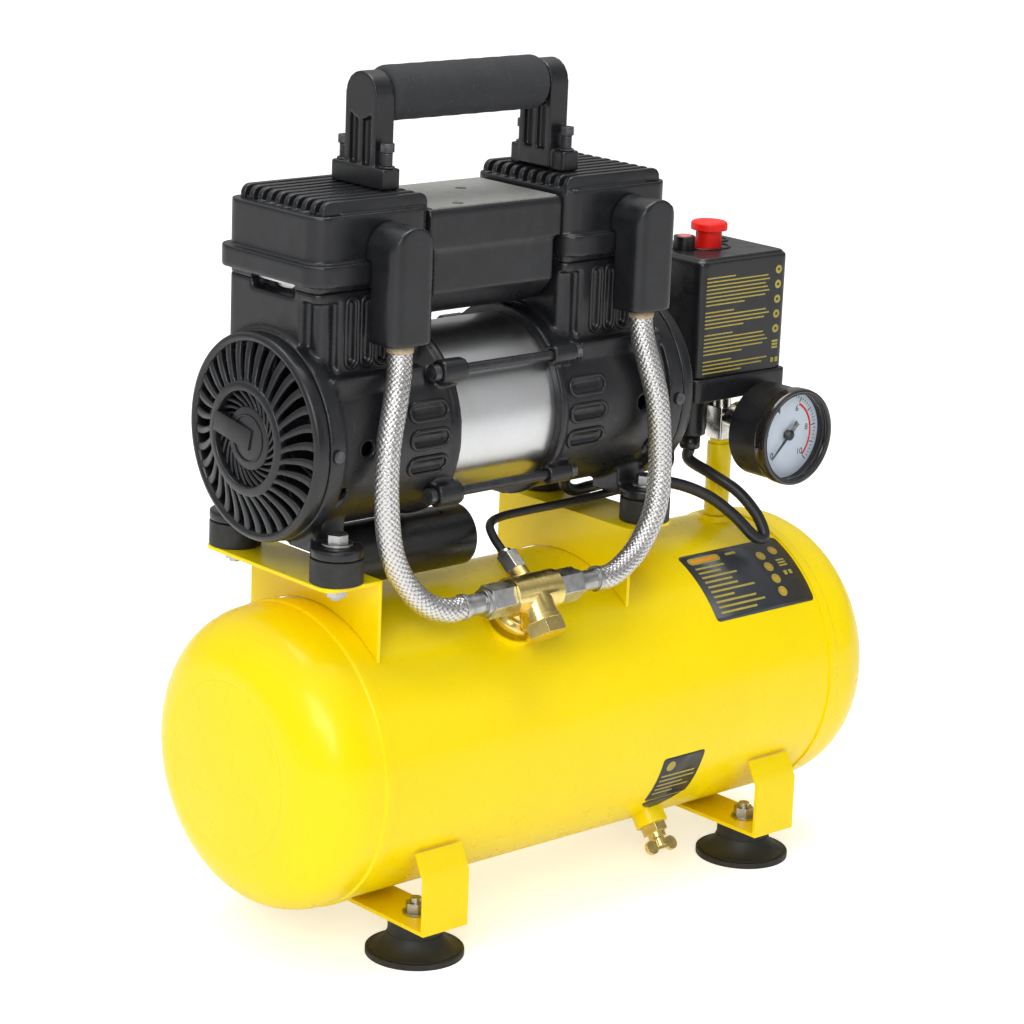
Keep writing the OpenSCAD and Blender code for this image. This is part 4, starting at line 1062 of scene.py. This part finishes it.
def fin_bar(bm, x0, x1, y0, y1, z0, z1, r):
    """Bar with rounded upper corners at its two ends."""
    outline = [(x0, z0)]
    for k in range(9):
        a = math.pi / 2 * k / 8
        outline.append((x0 + r - r * math.cos(a), z1 - r + r * math.sin(a)))
    for k in range(9):
        a = math.pi / 2 * (1 - k / 8)
        outline.append((x1 - r + r * math.cos(a), z1 - r + r * math.sin(a)))
    outline.append((x1, z0))
    front = [bm.verts.new(Vector((x, y0, z)) * MM) for x, z in outline]
    back = [bm.verts.new(Vector((x, y1, z)) * MM) for x, z in outline]
    bm.faces.new(front)
    bm.faces.new(list(reversed(back)))
    count = len(outline)
    for k in range(count):
        n = (k + 1) % count
        bm.faces.new([front[n], front[k], back[k], back[n]])


def head_fins():
    """Cooling fins on top of the two heads."""
    bm = bmesh.new()
    for side in (-1, 1):
        middle = PUMP_X + side * CYLINDER_DX
        for k in range(FIN_COUNT):
            y = FIN_PITCH * (k - (FIN_COUNT - 1) / 2)
            fin_bar(bm, middle - FIN_HALF_LENGTH, middle + FIN_HALF_LENGTH,
                    y - FIN_HALF_WIDTH, y + FIN_HALF_WIDTH, 386, 395.75, 5.0)
    piece = new_object(bm, "head_fins", MATERIAL["cast"])
    round_edges(piece, 0.9, 3, 40)


grip()
hose_collars()
bolt_threads()
gland_nut()
valve_flange()
head_fins()


# ---------- studio ----------

def floor():
    bm = bmesh.new()
    bmesh.ops.create_grid(bm, x_segments=2, y_segments=2, size=12.0)
    mesh = bpy.data.meshes.new("floor")
    bm.to_mesh(mesh)
    bm.free()
    material, tree, shader, _ = start("floor", 0.7)
    shader.inputs["Base Color"].default_value = (0.90, 0.90, 0.90, 1.0)
    shader.inputs["Emission Color"].default_value = (1.0, 1.0, 1.0, 1.0)
    seen = add(tree, "ShaderNodeLightPath").outputs["Is Camera Ray"]
    link(tree, remap(tree, seen, 0.0, 1.0, 0.16, 0.50), shader.inputs["Emission Strength"])
    mesh.materials.append(material)
    obj = bpy.data.objects.new("floor", mesh)
    bpy.context.scene.collection.objects.link(obj)


def softbox(name, place, aim, size, power):
    data = bpy.data.lights.new(name, "AREA")
    data.shape = "RECTANGLE"
    data.size = size[0]
    data.size_y = size[1]
    data.energy = power
    lamp = bpy.data.objects.new(name, data)
    bpy.context.scene.collection.objects.link(lamp)
    lamp.location = place
    direction = Vector(aim) - Vector(place)
    lamp.rotation_euler = direction.to_track_quat("-Z", "Y").to_euler()


def studio():
    """Soft world light, four soft lamps, and a background that the camera sees as white."""
    world = bpy.data.worlds.new("studio")
    bpy.context.scene.world = world
    world.use_nodes = True
    tree = world.node_tree
    sky = tree.nodes["Background"]
    direction = add(tree, "ShaderNodeTexCoord").outputs["Generated"]
    split = add(tree, "ShaderNodeSeparateXYZ")
    link(tree, direction, split.inputs[0])
    shade = remap(tree, split.outputs["Z"], 0.0, 0.8, 0.24, 0.88)
    # the side to the front right is a darker wall
    side = add(tree, "ShaderNodeVectorMath", {1: (0.67, -0.74, 0.0)}, operation="DOT_PRODUCT")
    link(tree, direction, side.inputs[0])
    shade = times(tree, shade, remap(tree, side.outputs["Value"], 0.1, 0.9, 1.0, 0.35))
    seen = add(tree, "ShaderNodeLightPath").outputs["Is Camera Ray"]
    strength = add(tree, "ShaderNodeMath", operation="MAXIMUM")
    link(tree, shade, strength.inputs[0])
    link(tree, seen, strength.inputs[1])
    sky.inputs["Color"].default_value = (1.0, 1.0, 1.0, 1.0)
    link(tree, strength.outputs[0], sky.inputs["Strength"])
    softbox("key", (-1.7, -1.2, 1.5), (0.0, 0.0, 0.2), (0.9, 0.9), 13.5)
    softbox("top", (0.1, 0.2, 2.2), (0.0, 0.0, 0.2), (1.6, 1.2), 29.0)
    softbox("right", (1.3, -1.9, 0.9), (0.0, 0.0, 0.2), (0.5, 1.3), 2.0)
    softbox("front", (-1.25, -1.55, 1.0), (0.0, 0.0, 0.25), (0.45, 0.8), 6.5)
    bpy.context.scene.view_settings.view_transform = "Standard"


floor()
studio()
